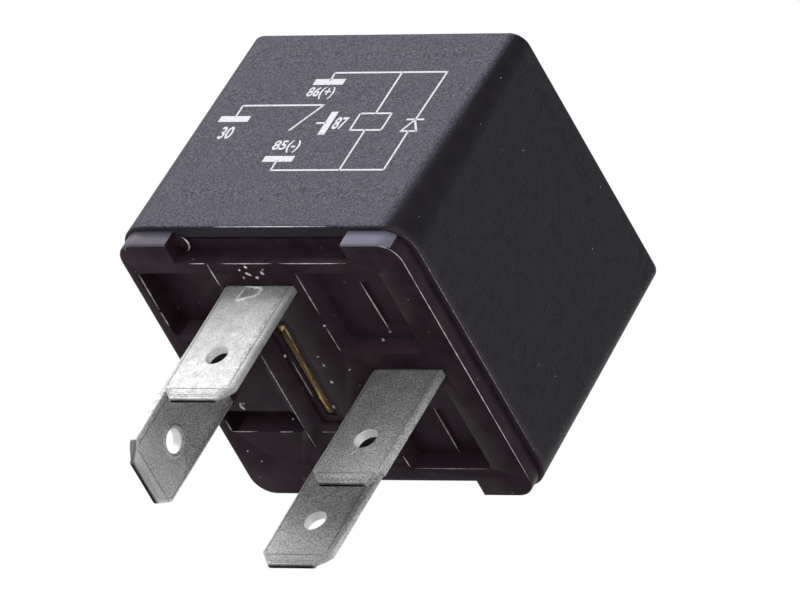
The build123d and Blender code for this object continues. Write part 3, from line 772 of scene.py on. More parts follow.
# %% Painted highlights along edges
edge_lines = np.array((
    (-4.93, -1.77, -4.93, 5.90, 0.0, 0.085), (-4.93, 5.95, -4.86, 7.86, 0.0, 0.045),
    (-5.00, -10.80, -4.95, -8.60, 0.0, 0.10), (-11.72, -9.80, -11.75, -6.16, 0.0, 0.07),
    (-11.74, -5.96, -11.72, -4.54, 0.0, 0.08), (-11.69, 5.04, -11.69, 6.17, 0.0, 0.07),
    (2.46, -9.85, 2.50, -5.72, 0.0, 0.06), (2.40, -4.40, 2.46, -1.94, 0.0, 0.05),
    (-7.32, 6.22, -6.14, 6.22, 0.0, 0.06), (-3.53, 6.20, -2.35, 6.20, 0.0, 0.035),
    (-11.69, 6.22, -9.31, 6.22, 0.0, 0.03), (-6.56, -10.84, -5.15, -10.84, 0.0, 0.06),
    (-3.77, -10.84, 0.91, -10.84, 0.0, 0.03), (1.43, -10.84, 7.49, -10.84, 0.0, 0.035),
    (2.54, 8.61, 2.62, 9.74, 0.0, 0.06), (2.90, 9.86, 9.60, 9.86, 0.0, 0.025),
    (6.16, -7.50, 6.30, -2.60, 1.6, 0.11), (6.18, 5.24, 6.18, 10.00, 1.6, 0.10),
    (-2.46, -1.00, -2.46, 2.60, 0.0, 0.03), (-5.6, -13.06, 7.7, -13.06, 1.52, 0.05)))


def tubes(paths, widths, height=0.05, columns=8):
    """Flat tubes along paths: point + taper * (width / 2 * cos a * u + height * sin a * z), with
    u level and across the path, and taper = sqrt(sin(pi t)), which closes both ends."""
    t = np.linspace(0.004, 0.996, paths.shape[1])[None, :, None, None]
    a = np.linspace(0, 2 * np.pi, columns, endpoint=False)[None, None, :, None]
    run = np.gradient(paths, axis=1)[:, :, None, :]
    u = np.stack((-run[..., 1], run[..., 0], 0 * run[..., 0]), axis=-1)
    u = u / np.linalg.norm(u, axis=-1, keepdims=True)
    taper = np.sqrt(np.sin(np.pi * t))
    spread = taper * widths / 2 * np.cos(a) * u
    return paths[:, :, None, :] + spread + taper * height * np.sin(a) * np.array((0, 0, 1.0))


t = np.linspace(0, 1, 9)[None, :, None]
low_end = edge_lines[:, None, [0, 1, 4]]
high_end = edge_lines[:, None, [2, 3, 4]]
straight_lines = tubes(low_end + t * (high_end - low_end), edge_lines[:, 5, None, None, None])

# Painted highlight: a pale finish that stands in for light caught by edges, crumbs and the gate's crescent.
highlight_plastic = mottled("painted_highlight_plastic", (0.62, 0.60, 0.63), 0.35,
                    clouds=(1600.0, 4.0), spread=(0.35, 0.6),
                    dark=(0.34, 0.33, 0.35), pale=(0.92, 0.90, 0.93), grain=(4200.0, 2.0, 0.006))
highlight_lines = solid("edge_highlights", list(straight_lines), smooth=60.0)
stands_alone(highlight_lines, highlight_plastic)

# %% [markdown]
# The lower edge of the rim carries a painted highlight all along the right side, most of all
# round the front corner. The line follows the rim: an arc of 1.8 mm, then straight. Its width
# comes from products of sines, so that it looks broken rather than drawn. A fainter painted
# highlight follows the lip of the cover.

# %% Painted highlight on the rim


def right_edge(half, corner, level, first_angle, last_y, count=220):
    """Points evenly down the right edge of a rounded square, and their distances: an arc whose
    angle grows by distance / corner from first_angle up to 0, then straight on along y."""
    arc_length = corner * math.radians(-first_angle)
    straight_length = last_y + half - corner
    along = np.linspace(0, arc_length + straight_length, count)
    angle = np.radians(np.minimum(first_angle + np.degrees(along / corner), 0))
    x = half - corner + corner * np.cos(angle)
    y = -half + corner + corner * np.sin(angle) + np.maximum(along - arc_length, 0)
    return np.stack((x, y, np.full(count, level)), axis=1), along


rim_path, along = right_edge(half=12.62, corner=1.75, level=0.06, first_angle=-75, last_y=11.2)
broken = 0.5 + 0.5 * np.sin(5.1 * along) * np.sin(1.7 * along + 1) + 0.3 * np.sin(23 * along)
rim_width = 0.028 + 0.036 * np.clip(broken, 0, 1.2) + 0.07 * np.exp(-((along - 2.2) / 1.2) ** 2)
lip_path, along = right_edge(half=13.07, corner=2.55, level=1.50, first_angle=-40, last_y=9.5)
lip_width = 0.004 + 0.024 * np.clip(0.4 + np.sin(3.1 * along) * np.sin(7.7 * along + 2), 0, 1)
rim_lines = [tubes(path[None], width[None, :, None, None], height)[0]
             for path, width, height in ((rim_path, rim_width, 0.04), (lip_path, lip_width, 0.012))]
rim_highlights = solid("rim_highlights", rim_lines, smooth=60.0)
stands_alone(rim_highlights, highlight_plastic)

# %% [markdown]
# Crumbs of swarf and torn flash cling to the base near the front blade; their pale colour is a
# painted glint. A particle system could strew them at random, but a list puts each where it
# lies. Each is an ellipsoid pressed flat, dented by a sine pattern so that no two look alike.
# The list gives the place, the half length, the half width and the angle.

# %% Crumbs
crumb_list = np.array((
    (-2.36, -10.20, 0.0, 0.09, 0.08, 0), (-1.66, -10.50, 0.0, 0.15, 0.10, 40),
    (-1.78, -9.80, 0.0, 0.26, 0.09, 35), (-0.49, -9.89, 0.0, 0.17, 0.11, 60),
    (-2.35, -9.44, 0.0, 0.12, 0.10, 90), (-1.14, -9.44, 0.0, 0.14, 0.12, 10),
    (-0.25, -10.25, 0.0, 0.06, 0.05, 0), (-2.82, -1.52, 0.0, 0.15, 0.09, 110),
    (0.13, -1.48, 0.0, 0.10, 0.08, 20), (0.22, -0.62, 0.0, 0.13, 0.07, 70),
    (0.04, 1.10, 0.0, 0.13, 0.10, 50), (-1.10, 3.65, 0.0, 0.20, 0.06, 80),
    (-5.47, 4.90, 0.0, 0.07, 0.06, 0), (-11.31, 8.22, 0.0, 0.08, 0.06, 0),
    (-10.57, 9.24, 0.0, 0.07, 0.06, 0), (-9.43, 3.62, 0.0, 0.36, 0.16, 85),
    (-9.10, 3.30, 0.0, 0.10, 0.08, 30), (2.36, -4.60, 0.0, 0.13, 0.10, 0),
    (6.28, -2.45, 1.6, 0.12, 0.10, 20), (5.62, -1.98, 1.2, 0.13, 0.09, 50),
    (2.31, -0.17, 0.0, 0.07, 0.06, 0)))
row = np.radians(np.linspace(8, 172, 9))[None, :, None]
column = np.radians(np.arange(0, 360, 30))[None, None, :]
number = np.arange(len(crumb_list))[:, None, None]
dented = 1 + 0.22 * np.sin(3 * column + 2.1 * number) * np.sin(row + number)
x = crumb_list[:, 3, None, None] * dented * np.sin(row) * np.cos(column)
y = crumb_list[:, 4, None, None] * dented * np.sin(row) * np.sin(column)
turn = np.radians(crumb_list[:, 5])[:, None, None]
crumb_grids = np.stack((crumb_list[:, 0, None, None] + x * np.cos(turn) - y * np.sin(turn),
                        crumb_list[:, 1, None, None] + x * np.sin(turn) + y * np.cos(turn),
                        crumb_list[:, 2, None, None] + 0.09 * dented * np.cos(row)
                        * np.ones_like(column)), axis=-1)
crumbs = solid("crumbs", list(crumb_grids), smooth=50.0)
stands_alone(crumbs, highlight_plastic)

# %% [markdown]
# The plastic was injected beside the left foot. The gate left a torn stub: a low dome, with a
# crescent of painted highlight round its right side. Both are small surfaces of their own, so
# the base keeps its form.

# %% Gate mark
GATE = np.array((-7.62, -11.72, 1.40))
rise = np.radians(np.linspace(4, 90, 10))[:, None]
round_about = np.radians(np.arange(0, 360, 15))[None, :]
STUB_RADIUS, STUB_HEIGHT, CRESCENT_RADIUS = 0.72, 0.42, 0.80
uneven = 1 + 0.25 * np.sin(2 * round_about + 1)
stub = np.stack((GATE[0] + STUB_RADIUS * np.cos(rise) * np.cos(round_about),
                 GATE[1] + STUB_RADIUS * np.cos(rise) * np.sin(round_about),
                 GATE[2] - STUB_HEIGHT * np.sin(rise) * uneven), axis=-1)[:-1]
gate_stub = solid("gate_stub", [stub], smooth=50.0)
stands_alone(gate_stub, base_plastic)

t = np.linspace(0.02, 0.98, 15)[:, None]
sweep = np.radians(-55 + 135 * t)
ring = np.radians(np.arange(0, 360, 45))[None, :]
thick = 0.08 * np.sin(np.pi * t)
from_gate = CRESCENT_RADIUS + thick * np.cos(ring)
crescent = np.stack((GATE[0] + from_gate * np.cos(sweep),
                     GATE[1] + from_gate * np.sin(sweep),
                     GATE[2] - 0.20 + thick * np.sin(ring)), axis=-1)
crescent_highlight = solid("crescent_highlight", [crescent], smooth=60.0)
stands_alone(crescent_highlight, highlight_plastic)

# %% [markdown]
# A blade is stamped from strip 0.8 mm thick: its edges are coined, its tip is bevelled on
# both sides, and a hole 1.8 mm across takes the detent of the socket. A Boolean could cut the
# hole into a plate, but the faces round it would shade badly. Here the blade is one closed tube
# of rings round the hole. Each ring lies between the rim of the hole and the outline, first
# on the front, then over the edge, then on the back, and the last one closes the hole.

# %% Outline of a blade
BLADE_HALF, BLADE_THICK = 3.15, 0.8
TIP_Z = cad_low.z / MM
TIP_SIDE, TIP_RISE = 1.12, 1.3
HOLE_Z, HOLE_RADIUS = TIP_Z + 4.4, 0.9
print("blade tips at z", round(TIP_Z, 2), "mm, holes at", round(HOLE_Z, 2), "mm")


def blade_outline(shoulder_z, tab_half, tab_z, notch, count):
    """Points evenly along the outline as complex numbers s + i z, and the outward normals.
    A running mean over 0.2 mm rounds the corners. The normal is the chord over 1.2 mm turned
    by -90 degrees, because the outline runs anticlockwise; a long chord keeps inner rings apart."""
    right_side = np.array((0.5 * (BLADE_HALF - TIP_SIDE) + 1j * TIP_Z, BLADE_HALF - TIP_SIDE + 1j * TIP_Z,
                           BLADE_HALF + 1j * (TIP_Z + TIP_RISE), BLADE_HALF + 1j * shoulder_z,
                           tab_half + 1j * shoulder_z, tab_half + 1j * tab_z,
                           notch + 1j * tab_z))
    top = np.array((1j * (tab_z - notch),))
    corners = np.concatenate((right_side, top, -right_side[::-1].conj()))
    closed = np.append(corners, corners[0])
    length = np.concatenate(((0,), np.cumsum(np.abs(np.diff(closed)) + 1e-9)))
    fine = np.linspace(0, length[-1], 10 * count, endpoint=False)
    dense = np.interp(fine, length, closed.real) + 1j * np.interp(fine, length, closed.imag)
    per_mm = len(fine) / length[-1]
    shifts = np.arange(-round(0.1 * per_mm), round(0.1 * per_mm) + 1)
    rounded = np.mean([np.roll(dense, shift) for shift in shifts], axis=0)
    chord = round(0.6 * per_mm)
    tangent = (np.roll(rounded, -chord) - np.roll(rounded, chord))[5::10]
    return rounded[5::10], -1j * tangent / np.abs(tangent)


# %% Thickness and coined details
EDGE_ROUND = 0.15
COINED_TOP, FAR = 1.5, 9.0
LANCE = np.array(((-1.13, 0.0), (0.47, -0.2), (0.40, -0.85), (0.12, -1.08), (-1.25, -1.50), (-1.13, 0.0)))


def half_thickness(z, inside, hole_gap, ring):
    """Half the thickness: 0.4 mm, less the tip bevel of 0.22 mm over the last 0.9 mm, less a
    coined chamfer 0.34 mm wide and 0.13 mm deep with a fine crease where it starts, less the
    rounded hole rim, plus a raised ring round the hole."""
    bevel = 0.22 * np.clip((TIP_Z + 0.9 - z) / 0.9, 0, 1)
    crease = 0.03 * np.exp(-((z - TIP_Z - 0.92) / 0.06) ** 2) * (inside > 0.3)
    side = z > TIP_Z + 0.2
    coined = 0.13 * np.clip(1 - inside / 0.34, 0, 1) * side
    groove = 0.035 * np.exp(-((inside - 0.38) / 0.045) ** 2)
    rim = 0.06 * np.clip(1 - hole_gap / 0.09, 0, 1) ** 2
    raised = ring * np.exp(-((hole_gap - 0.24) / 0.12) ** 2)
    return BLADE_THICK / 2 - bevel - crease - coined - groove - rim + raised


def lance_depth(s, z):
    """Depth of the lance mark at the root: a dimple 0.14 mm deep inside its outline, which is
    nearly a D. The walls slope over 0.15 mm from the nearest side."""
    right = 0.44 - s
    bottom = (z + 1.50) - (s + 1.25) * 0.27
    inside = np.minimum(np.minimum(s + 1.2, right), np.minimum(bottom, 0.05 - z))
    return 0.14 * np.clip(inside / 0.15, 0, 1)


# %% Rings of a blade


def blade(shoulder_z, tab_half, tab_z, notch=0.02, count=400, steps=40, lance=False, ring=0.0):
    """Grid of a blade with axes across (s), through (n, front is positive) and up (z).
    A front ring at share f lies at rim + f * (inner outline - rim); the last rings lie at
    fixed distances inside the outline. The back mirrors the front with fewer rings. Inside
    the relay, above COINED_TOP, nothing is coined and the margins shrink. FAR stands for any
    distance too great to matter."""
    outline, normal = blade_outline(shoulder_z, tab_half, tab_z, notch, count)
    centre = 1j * HOLE_Z
    ray = (outline - centre) / np.abs(outline - centre)
    coined_part = np.clip((COINED_TOP - outline.imag) / COINED_TOP, 0.06, 1)

    def face(steps):
        near = np.array((0.0, 0.03, 0.06, 0.10, 0.16, 0.22, 0.30, 0.38))
        rim = centre + (HOLE_RADIUS + near[:, None]) * ray
        share = np.linspace(0, 1, steps + 2)[1:-1, None]
        margin = np.array((0.56, 0.49, 0.44, 0.41, 0.38, 0.35, 0.32, 0.25, 0.18))[:, None]
        bend = np.radians(np.linspace(0, 90, 6))[:, None]
        margin = np.concatenate((margin, EDGE_ROUND * (1 - np.sin(bend))))
        border = outline - margin * coined_part * normal
        inner = rim[-1] + share * (border[0] - rim[-1])
        plan = np.concatenate((rim, inner, border))
        inside = np.concatenate((np.full((len(near) + steps, count), FAR), margin * coined_part))
        gap = np.concatenate((near, np.full(steps + len(margin), FAR)))[:, None]
        thick = half_thickness(plan.imag, np.where(plan.imag < COINED_TOP, inside, FAR), gap, ring)
        thick[-6:] -= EDGE_ROUND * (1 - np.cos(bend)) * coined_part
        return plan, thick

    front, thick = face(steps)
    if lance:
        thick = thick - lance_depth(front.real, front.imag)
    back, back_thick = face(max(steps // 4, 6))
    wall = centre + HOLE_RADIUS * ray
    plan = np.concatenate((front, outline[None], outline[None], back[::-1], wall[None], wall[None]))
    depth = np.concatenate((thick, 0.6 * thick[-1:], -0.6 * back_thick[-1:], -back_thick[::-1],
                            -0.6 * back_thick[:1], 0.6 * thick[:1]))
    return np.stack((plan.real, depth, plan.imag), axis=2)


# %% Wear, painted light and painted shade of a blade


def carry_wear_light_and_shade(piece, grid, tip_light=0.0, corner=0.0, bevel=0.0):
    """The mesh carries "cut_and_crease_shade" on the end face at the tip and, by the share corner,
    on the sheared left corner, and as painted shade in the creases of the coining; "rub" in a
    band 0.6 mm in from the right long edge; "painted_highlight" on the wall of the hole and, by
    the share bevel, on the bevel of the tip; and "tip_light", painted light, on the last
    millimetres above the tip."""
    s, z = grid[..., 0], grid[..., 2]
    edge_gap = BLADE_HALF - np.abs(s)
    end_face = 0.7 * np.clip((TIP_Z + 0.12 - z) / 0.08, 0, 1)
    # Painted shade in the creases of the coining and of the tip bevel.
    crease = np.exp(-((edge_gap - 0.39) / 0.05) ** 2) * (z > TIP_Z + TIP_RISE) * (z < COINED_TOP)
    tip_crease_shade = np.exp(-((z - TIP_Z - 0.94) / 0.05) ** 2) * (np.abs(s) < 2.6)
    corner_gap = (s + BLADE_HALF - TIP_SIDE) * TIP_RISE + (z - TIP_Z) * TIP_SIDE
    corner_gap /= math.hypot(TIP_RISE, TIP_SIDE)
    sheared = corner * np.clip((0.13 - corner_gap) / 0.06, 0, 1)
    cut_and_crease_shade = np.maximum(np.maximum(end_face, sheared), 0.75 * np.maximum(crease, tip_crease_shade))
    rub = np.exp(-((edge_gap - 0.60) / 0.20) ** 2) * np.clip((z - TIP_Z - 1.2) / 1.5, 0, 1) * (s > 0)
    # Painted highlight on the hole wall and, by the share bevel, on the flat of the tip bevel.
    hole_wall = np.hypot(s, z - HOLE_Z) < HOLE_RADIUS + 0.04
    flat = np.clip((np.minimum(corner_gap, z - TIP_Z) - 0.13) / 0.06, 0, 1)
    painted_highlight = np.maximum(hole_wall, bevel * flat * np.clip((TIP_Z + 0.93 - z) / 0.05, 0, 1))
    # Painted light: full up to 2 mm above the tip and gone at 5 mm.
    tip = tip_light * np.clip((TIP_Z + 5.0 - z) / 3.0, 0, 1)
    for name, values in (("cut_and_crease_shade", cut_and_crease_shade), ("rub", rub), ("painted_highlight", painted_highlight), ("tip_light", tip)):
        carry(piece, name, values)


# %% Terminals 85, 86 and 30
PIN_X, PIN_Y = -1.5, 0.25
COIL_PIN_REACH = 8.4
X_30, X_87 = 7.425, -10.425
Y_85, Y_86 = PIN_Y - COIL_PIN_REACH, PIN_Y + COIL_PIN_REACH


def facing_front(grid, x, y):
    """Blade wide along X with its front towards -Y."""
    return np.stack((grid[..., 0] + x, y - grid[..., 1], grid[..., 2]), axis=2)


# The last number is the share of painted light on the tip.
for name, y, tin, tip_light in (("85", Y_85, clean_tin, 0.3), ("86", Y_86, lit_tin, 0.95)):
    shape = blade(4.9, 1.3, 9.8, notch=0.6, steps=84, lance=True)
    piece = solid("blade_" + name, [facing_front(shape, PIN_X, y)], around=True, smooth=28.0)
    carry_wear_light_and_shade(piece, shape, tip_light)
    stands_for(piece, "terminal_" + name, tin)
shape = blade(4.4, 1.3, 6.0)
blade_30 = solid("blade_30", [facing_front(shape, X_30, PIN_Y)], around=True, smooth=28.0)
carry_wear_light_and_shade(blade_30, shape, 0.25)
stands_for(blade_30, "terminal_30", shaded_gritty_tin)

# %% [markdown]
# Terminal 87 is the same blade on a longer blank. Inside the cover the blank bends over
# towards the middle and carries the fixed contact. A Simple Deform modifier could bend it, but
# a formula puts the shelf exactly at the height and length of the CAD piece. The flat grid is
# worked out first and then bent: beyond the bend line, the distance along the blank becomes an
# angle on an arc.

# %% Bent terminal 87
INNER_BEND = 0.35
shelf_top = (np.array(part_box("terminal_87")[1]) / MM)[2]
shelf_end = (np.array(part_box("terminal_87")[1]) / MM)[0]
bend_start = shelf_top - BLADE_THICK - INNER_BEND
neutral = INNER_BEND + BLADE_THICK / 2


def bent(grid):
    """Bends the grid towards +n above bend_start. A point at distance z above it turns by
    z / neutral up to 90 degrees, at radius neutral - n about the bend axis, then runs on level."""
    across, through, up = grid[..., 0], grid[..., 1], grid[..., 2]
    past = np.clip(up - bend_start, 0, neutral * math.pi / 2)
    level = np.maximum(up - bend_start - neutral * math.pi / 2, 0)
    angle = past / neutral
    radius = neutral - through
    out = np.where(angle > 0, neutral - radius * np.cos(angle) + level, through)
    rise = np.where(angle > 0, bend_start + radius * np.sin(angle), up)
    return np.stack((across, out, rise), axis=2)


blank_end = bend_start + neutral * math.pi / 2 + (shelf_end - X_87 - neutral)
straight = blade(blank_end - 0.02, BLADE_HALF - 0.01, blank_end, steps=110, ring=0.14)
shape = bent(straight)
shape = np.stack((X_87 + shape[..., 1], PIN_Y + shape[..., 0], shape[..., 2]), axis=2)
blade_87 = solid("blade_87", [shape], around=True, smooth=28.0)
carry_wear_light_and_shade(blade_87, straight, 1.0, corner=0.85, bevel=0.7)
stands_for(blade_87, "terminal_87", lit_tin)
shelf = shape.reshape(-1, 3).max(axis=0)
print("terminal 87 ends at x", round(float(shelf[0]), 2), "z", round(float(shelf[2]), 2))

# %% [markdown]
# The lance leaves a raised burr all round its dimple, and there are a few scratches. A bump
# texture could hint at them, but a real ridge catches the light from every side. Their
# near-white colour is a painted highlight. They are the same flat tubes as the pale lines,
# worked out with z as the second direction and stood up.

# %% Burrs and scratches


def on_front(path, width, height, x, front_y):
    """Tube along points (s, z) on the front of a blade that faces -Y."""
    flat_tube = tubes(np.concatenate((path, 0 * path[:, :1]), axis=1)[None], width, height)[0]
    return np.stack((x + flat_tube[..., 0], front_y - flat_tube[..., 2], flat_tube[..., 1]), axis=-1)


def resampled(points, count):
    """Points evenly along a line of corners, by interpolation over its length."""
    length = np.concatenate(((0,), np.cumsum(np.hypot(*np.diff(points, axis=0).T))))
    at = np.linspace(0, length[-1], count)
    return np.stack((np.interp(at, length, points[:, 0]), np.interp(at, length, points[:, 1])), axis=1)


LANCE_POINTS = 90
BURR_HEIGHT, SCRATCH_HEIGHT = 0.13, 0.02
outline_path = resampled(LANCE, LANCE_POINTS)
step = np.arange(LANCE_POINTS)
ragged = (0.24 + 0.08 * np.sin(step * 1.3) * np.sin(step * 0.37))[None, :, None, None]
burrs = [on_front(outline_path, ragged, BURR_HEIGHT, PIN_X, y - BLADE_THICK / 2) for y in (Y_85, Y_86)]
scratches = ((((-1.62, -6.62), (-1.52, -6.40)), 0.10, PIN_X, Y_85),
             (((-0.47, -8.66), (-0.28, -8.38), (-0.02, -8.16)), 0.09, X_30, PIN_Y),
             (((0.9, -3.2), (1.3, -4.4)), 0.03, PIN_X, Y_85),
             (((-1.9, -2.4), (-1.4, -3.1)), 0.03, X_30, PIN_Y))
for points, width, x, y in scratches:
    path = resampled(np.array(points), 12)
    burrs.append(on_front(path, width, SCRATCH_HEIGHT, x, y - BLADE_THICK / 2))
blade_burrs = solid("blade_burrs", burrs, smooth=60.0)
# Painted highlight: near-white tin for the burr and scratches.
highlight_tin = mottled("highlight_tin", (0.95, 0.95, 0.95), 0.35, specular=0.9,
                     clouds=(3000.0, 3.0), spread=(0.35, 0.6),
                     dark=(0.62, 0.62, 0.62), pale=(0.97, 0.97, 0.97), grain=(5200.0, 2.0, 0.006))
stands_alone(blade_burrs, highlight_tin)

# %% [markdown]
# The stop strip shows in the middle slot as a brass edge with painted highlights along it. The
# list gives x, y of both ends of each highlight and its width. The strip itself, the iron pieces,
# the bobbin and the contacts keep their CAD form with rounded edges, because flat sheet and
# turned iron are simple shapes that need nothing more.

# %% Painted highlights on the edge of the strip
brass_highlight = mottled("brass_highlight", (0.60, 0.42, 0.16), 0.4, metallic=0.6,
                         clouds=(1500.0, 3.0), spread=(0.35, 0.6),
                         dark=(0.22, 0.13, 0.035), pale=(0.78, 0.56, 0.22), grain=(4200.0, 2.0, 0.006))
strip_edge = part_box("rest_stop")[0].z / MM
highlight_spans = np.array(((-1.66, -3.10, -2.05, 1.90, 0.10), (-1.62, -4.38, -2.20, -3.75, 0.30),
                   (-1.68, -4.10, -1.72, -2.70, 0.20), (-2.06, 1.50, -2.14, 4.20, 0.20),
                   (-2.28, 2.80, -2.02, 4.35, 0.16)))
t = np.linspace(0, 1, 13)[None, :, None]
edge_height = np.full((len(highlight_spans), 1), strip_edge)
start = np.concatenate((highlight_spans[:, 0:2], edge_height), axis=1)[:, None]
end = np.concatenate((highlight_spans[:, 2:4], edge_height), axis=1)[:, None]
highlight_tubes = tubes(start + t * (end - start), highlight_spans[:, 4, None, None, None])
strip_highlights = solid("strip_highlights", list(highlight_tubes), smooth=60.0)
stands_alone(strip_highlights, brass_highlight)

# %% Strip and iron pieces
for node, width, material, slot, body in (
        ("rest_stop", 0.12, brass, "brass_strip", "relay"), ("yoke", 0.12, iron, "iron", "relay"),
        ("core", 0.10, iron, "iron", "relay"), ("armature", 0.12, iron, "iron", "armature"),
        ("bobbin", 0.10, nylon, "bobbin_plastic", "relay"),
        ("fixed_contact", 0.06, silver, "silver", "relay"),
        ("moving_contact", 0.06, silver, "silver", "armature")):
    piece = softened(node, width, material, body)

# %% [markdown]
# Round pieces are turned: a profile of radius and height goes round an axis. The winding could
# be a helix of hundreds of turns, but a row of rounded ridges looks the same from outside and
# has far fewer faces. The tape round it is one strip, so the sheet steps up where its end
# overlaps its beginning.

# %% Coil winding
CORE_X, CORE_Y = 1.2, 0.25
COIL_LOW, COIL_HIGH = (corner.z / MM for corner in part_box("coil_winding"))


def turned(radius, height, count=64):
    """Rows of a turned surface: radius * (cos a, sin a) at each height, about the z axis."""
    a = np.linspace(0, 2 * np.pi, count, endpoint=False)[None, :]
    x, y = radius[:, None] * np.cos(a), radius[:, None] * np.sin(a)
    return np.stack((x, y, height[:, None] + 0 * a), axis=-1)


WINDING_RADIUS, RIDGE, RIDGES, BORE_RADIUS = 5.90, 0.09, 20, 3.32
at = np.linspace(0.02, 0.98, 141)
turns = WINDING_RADIUS + RIDGE * np.abs(np.cos(np.pi * RIDGES * at))
winding_profile = np.concatenate((turns, (BORE_RADIUS, BORE_RADIUS)))
winding_height = COIL_LOW + np.concatenate((at, (1.0, 0.0))) * (COIL_HIGH - COIL_LOW)
winding_grid = turned(winding_profile, winding_height) + (CORE_X, CORE_Y, 0)
winding = solid("wound_coil", [winding_grid], around=True, smooth=60.0)
stands_for(winding, "coil_winding", enamel)

# %% Tape
TAPE_OUTSIDE, TAPE_INSIDE, TAPE_COLUMNS = 6.06, 6.0, 120
a = np.linspace(0, 2 * np.pi, TAPE_COLUMNS, endpoint=False)[None, :]
up = np.linspace(0.01, 0.99, 16)[:, None]
overlap = np.clip((a - 4.4) / 0.02, 0, 1) - np.clip((a - 5.1) / 0.25, 0, 1)
crinkle = 0.008 * np.sin(5 * a + 9 * up) * np.sin(14 * up)
outside = TAPE_OUTSIDE + 0.045 * overlap + crinkle
radius = np.concatenate((outside, np.full((2, TAPE_COLUMNS), TAPE_INSIDE)))
back_down = np.array((0.99, 0.01))[:, None]
height = COIL_LOW + np.concatenate((up, back_down)) * (COIL_HIGH - COIL_LOW) + 0 * a
wrap_grid = np.stack((CORE_X + radius * np.cos(a), CORE_Y + radius * np.sin(a), height), axis=-1)
wrap = solid("coil_tape", [wrap_grid], around=True, smooth=50.0)
stands_for(wrap, "coil_wrap", tape)

# %% [markdown]
# The diode is a moulded cylinder with a painted band at its cathode end. Its leads and the
# ends of the winding are wires: a circle moved along a path with rounded corners. A bevelled
# curve object could do that too, but as a grid the wire is made, closed and turned outwards by
# the same function as every other piece. A solder blob joins each one to the tab of its blade.

# %% Diode
DIODE_X, DIODE_Z, DIODE_HALF = -7.0, 6.0, 2.6
DIODE_RADIUS, DIODE_ROUND = 1.27, 0.26


def along_y(grid, x, y, z):
    """Turned surface laid down so that its axis runs along Y."""
    return np.stack((x + grid[..., 0], y + grid[..., 2], z + grid[..., 1]), axis=-1)


turn = np.radians(np.linspace(0, 90, 6))
end_radius = DIODE_RADIUS - DIODE_ROUND + DIODE_ROUND * np.sin(turn)
end_height = DIODE_HALF - DIODE_ROUND + DIODE_ROUND * np.cos(turn)
diode_radius = np.concatenate(((0.5,), end_radius, end_radius[::-1], (0.5,)))
diode_height = np.concatenate(((DIODE_HALF,), end_height, -end_height[::-1], (-DIODE_HALF,)))
diode_grid = along_y(turned(diode_radius, diode_height, 48), DIODE_X, PIN_Y, DIODE_Z)
diode = solid("moulded_diode", [diode_grid], smooth=35.0)
stands_for(diode, "diode_body", epoxy)
band = turned(np.array((1.25, 1.285, 1.285, 1.25)), np.array((1.2, 1.22, 1.98, 2.0)), 48)
diode_band = solid("diode_band", [along_y(band, DIODE_X, PIN_Y, DIODE_Z)], smooth=35.0)
stands_alone(diode_band, band_paint)

# %% Leads and wires


def wire(points, radius, bend, count=60, sides=14):
    """Tube of a radius along corners in three dimensions. Each inner corner becomes a curve
    whose control points lie bend before and after it: (1-t)^2 a + 2 t (1-t) corner + t^2 b."""
    points = np.array(points, float)
    step = np.diff(points, axis=0)
    unit = step / np.linalg.norm(step, axis=1, keepdims=True)
    t = np.linspace(0, 1, 9)[:, None]
    path = [points[:1]]
    for corner, before, after in zip(points[1:-1], unit[:-1], unit[1:]):
        first, second = corner - bend * before, corner + bend * after
        path.append((1 - t) ** 2 * first + 2 * t * (1 - t) * corner + t ** 2 * second)
    path = np.concatenate(path + [points[-1:]])
    length = np.concatenate(((0,), np.cumsum(np.linalg.norm(np.diff(path, axis=0), axis=1))))
    even = np.linspace(0, length[-1], count)
    path = np.stack([np.interp(even, length, path[:, k]) for k in range(3)], axis=1)
    run = np.gradient(path, axis=0)
    run /= np.linalg.norm(run, axis=1, keepdims=True)
    side = np.cross(run, (0.0, 0.0, 1.0))
    side /= np.linalg.norm(side, axis=1, keepdims=True)
    other = np.cross(side, run)
    a = np.linspace(0, 2 * np.pi, sides, endpoint=False)[None, :, None]
    return path[:, None] + radius * (np.cos(a) * side[:, None] + np.sin(a) * other[:, None])


LEAD_RADIUS, LEAD_BEND = 0.36, 0.95
WIRE_RADIUS, WIRE_BEND = 0.14, 0.3
LEAD_END_X, WIRE_X = -2.8, -0.6
blobs = []
rise = np.radians(np.linspace(6, 174, 12))
for name, way in (("85", -1), ("86", 1)):
    row = PIN_Y + COIL_PIN_REACH * way
    lead_corners = ((DIODE_X, PIN_Y + way * DIODE_HALF, DIODE_Z), (DIODE_X, row, DIODE_Z),
                    (LEAD_END_X, row, DIODE_Z))
    piece = solid("round_lead_" + name, [wire(lead_corners, LEAD_RADIUS, LEAD_BEND)], smooth=50.0)
    stands_for(piece, "diode_lead_" + name, solder)
    end_corners = [(WIRE_X, PIN_Y + reach * way, z) for reach, z in ((5.72, 8.2), (6.6, 8.26), (8.0, 8.2))]
    piece = solid("coil_end_" + name, [wire(end_corners, WIRE_RADIUS, WIRE_BEND)], smooth=50.0)
    stands_for(piece, "coil_wire_" + name, enamel)
    for x, y, z, size in ((-2.9, row, DIODE_Z, 0.62), (WIRE_X, row - 0.3 * way, 8.2, 0.38)):
        blob = turned(size * np.sin(rise), 1.1 * size * np.cos(rise), 24)
        blobs.append(blob * (1, 0.9, 1) + (x, y, z))
solder_blobs = solid("solder_blobs", blobs, smooth=60.0)
stands_alone(solder_blobs, solder)

# %% [markdown]
# The contact spring is one bronze leaf, riveted to the leg of the yoke below and to the
# armature above. Between the two it bends when the armature turns. The CAD leaf is rigid, so it
# is made anew with enough rows to bend. It is a flat section moved along a path: up, round an
# arc, and out along the armature.

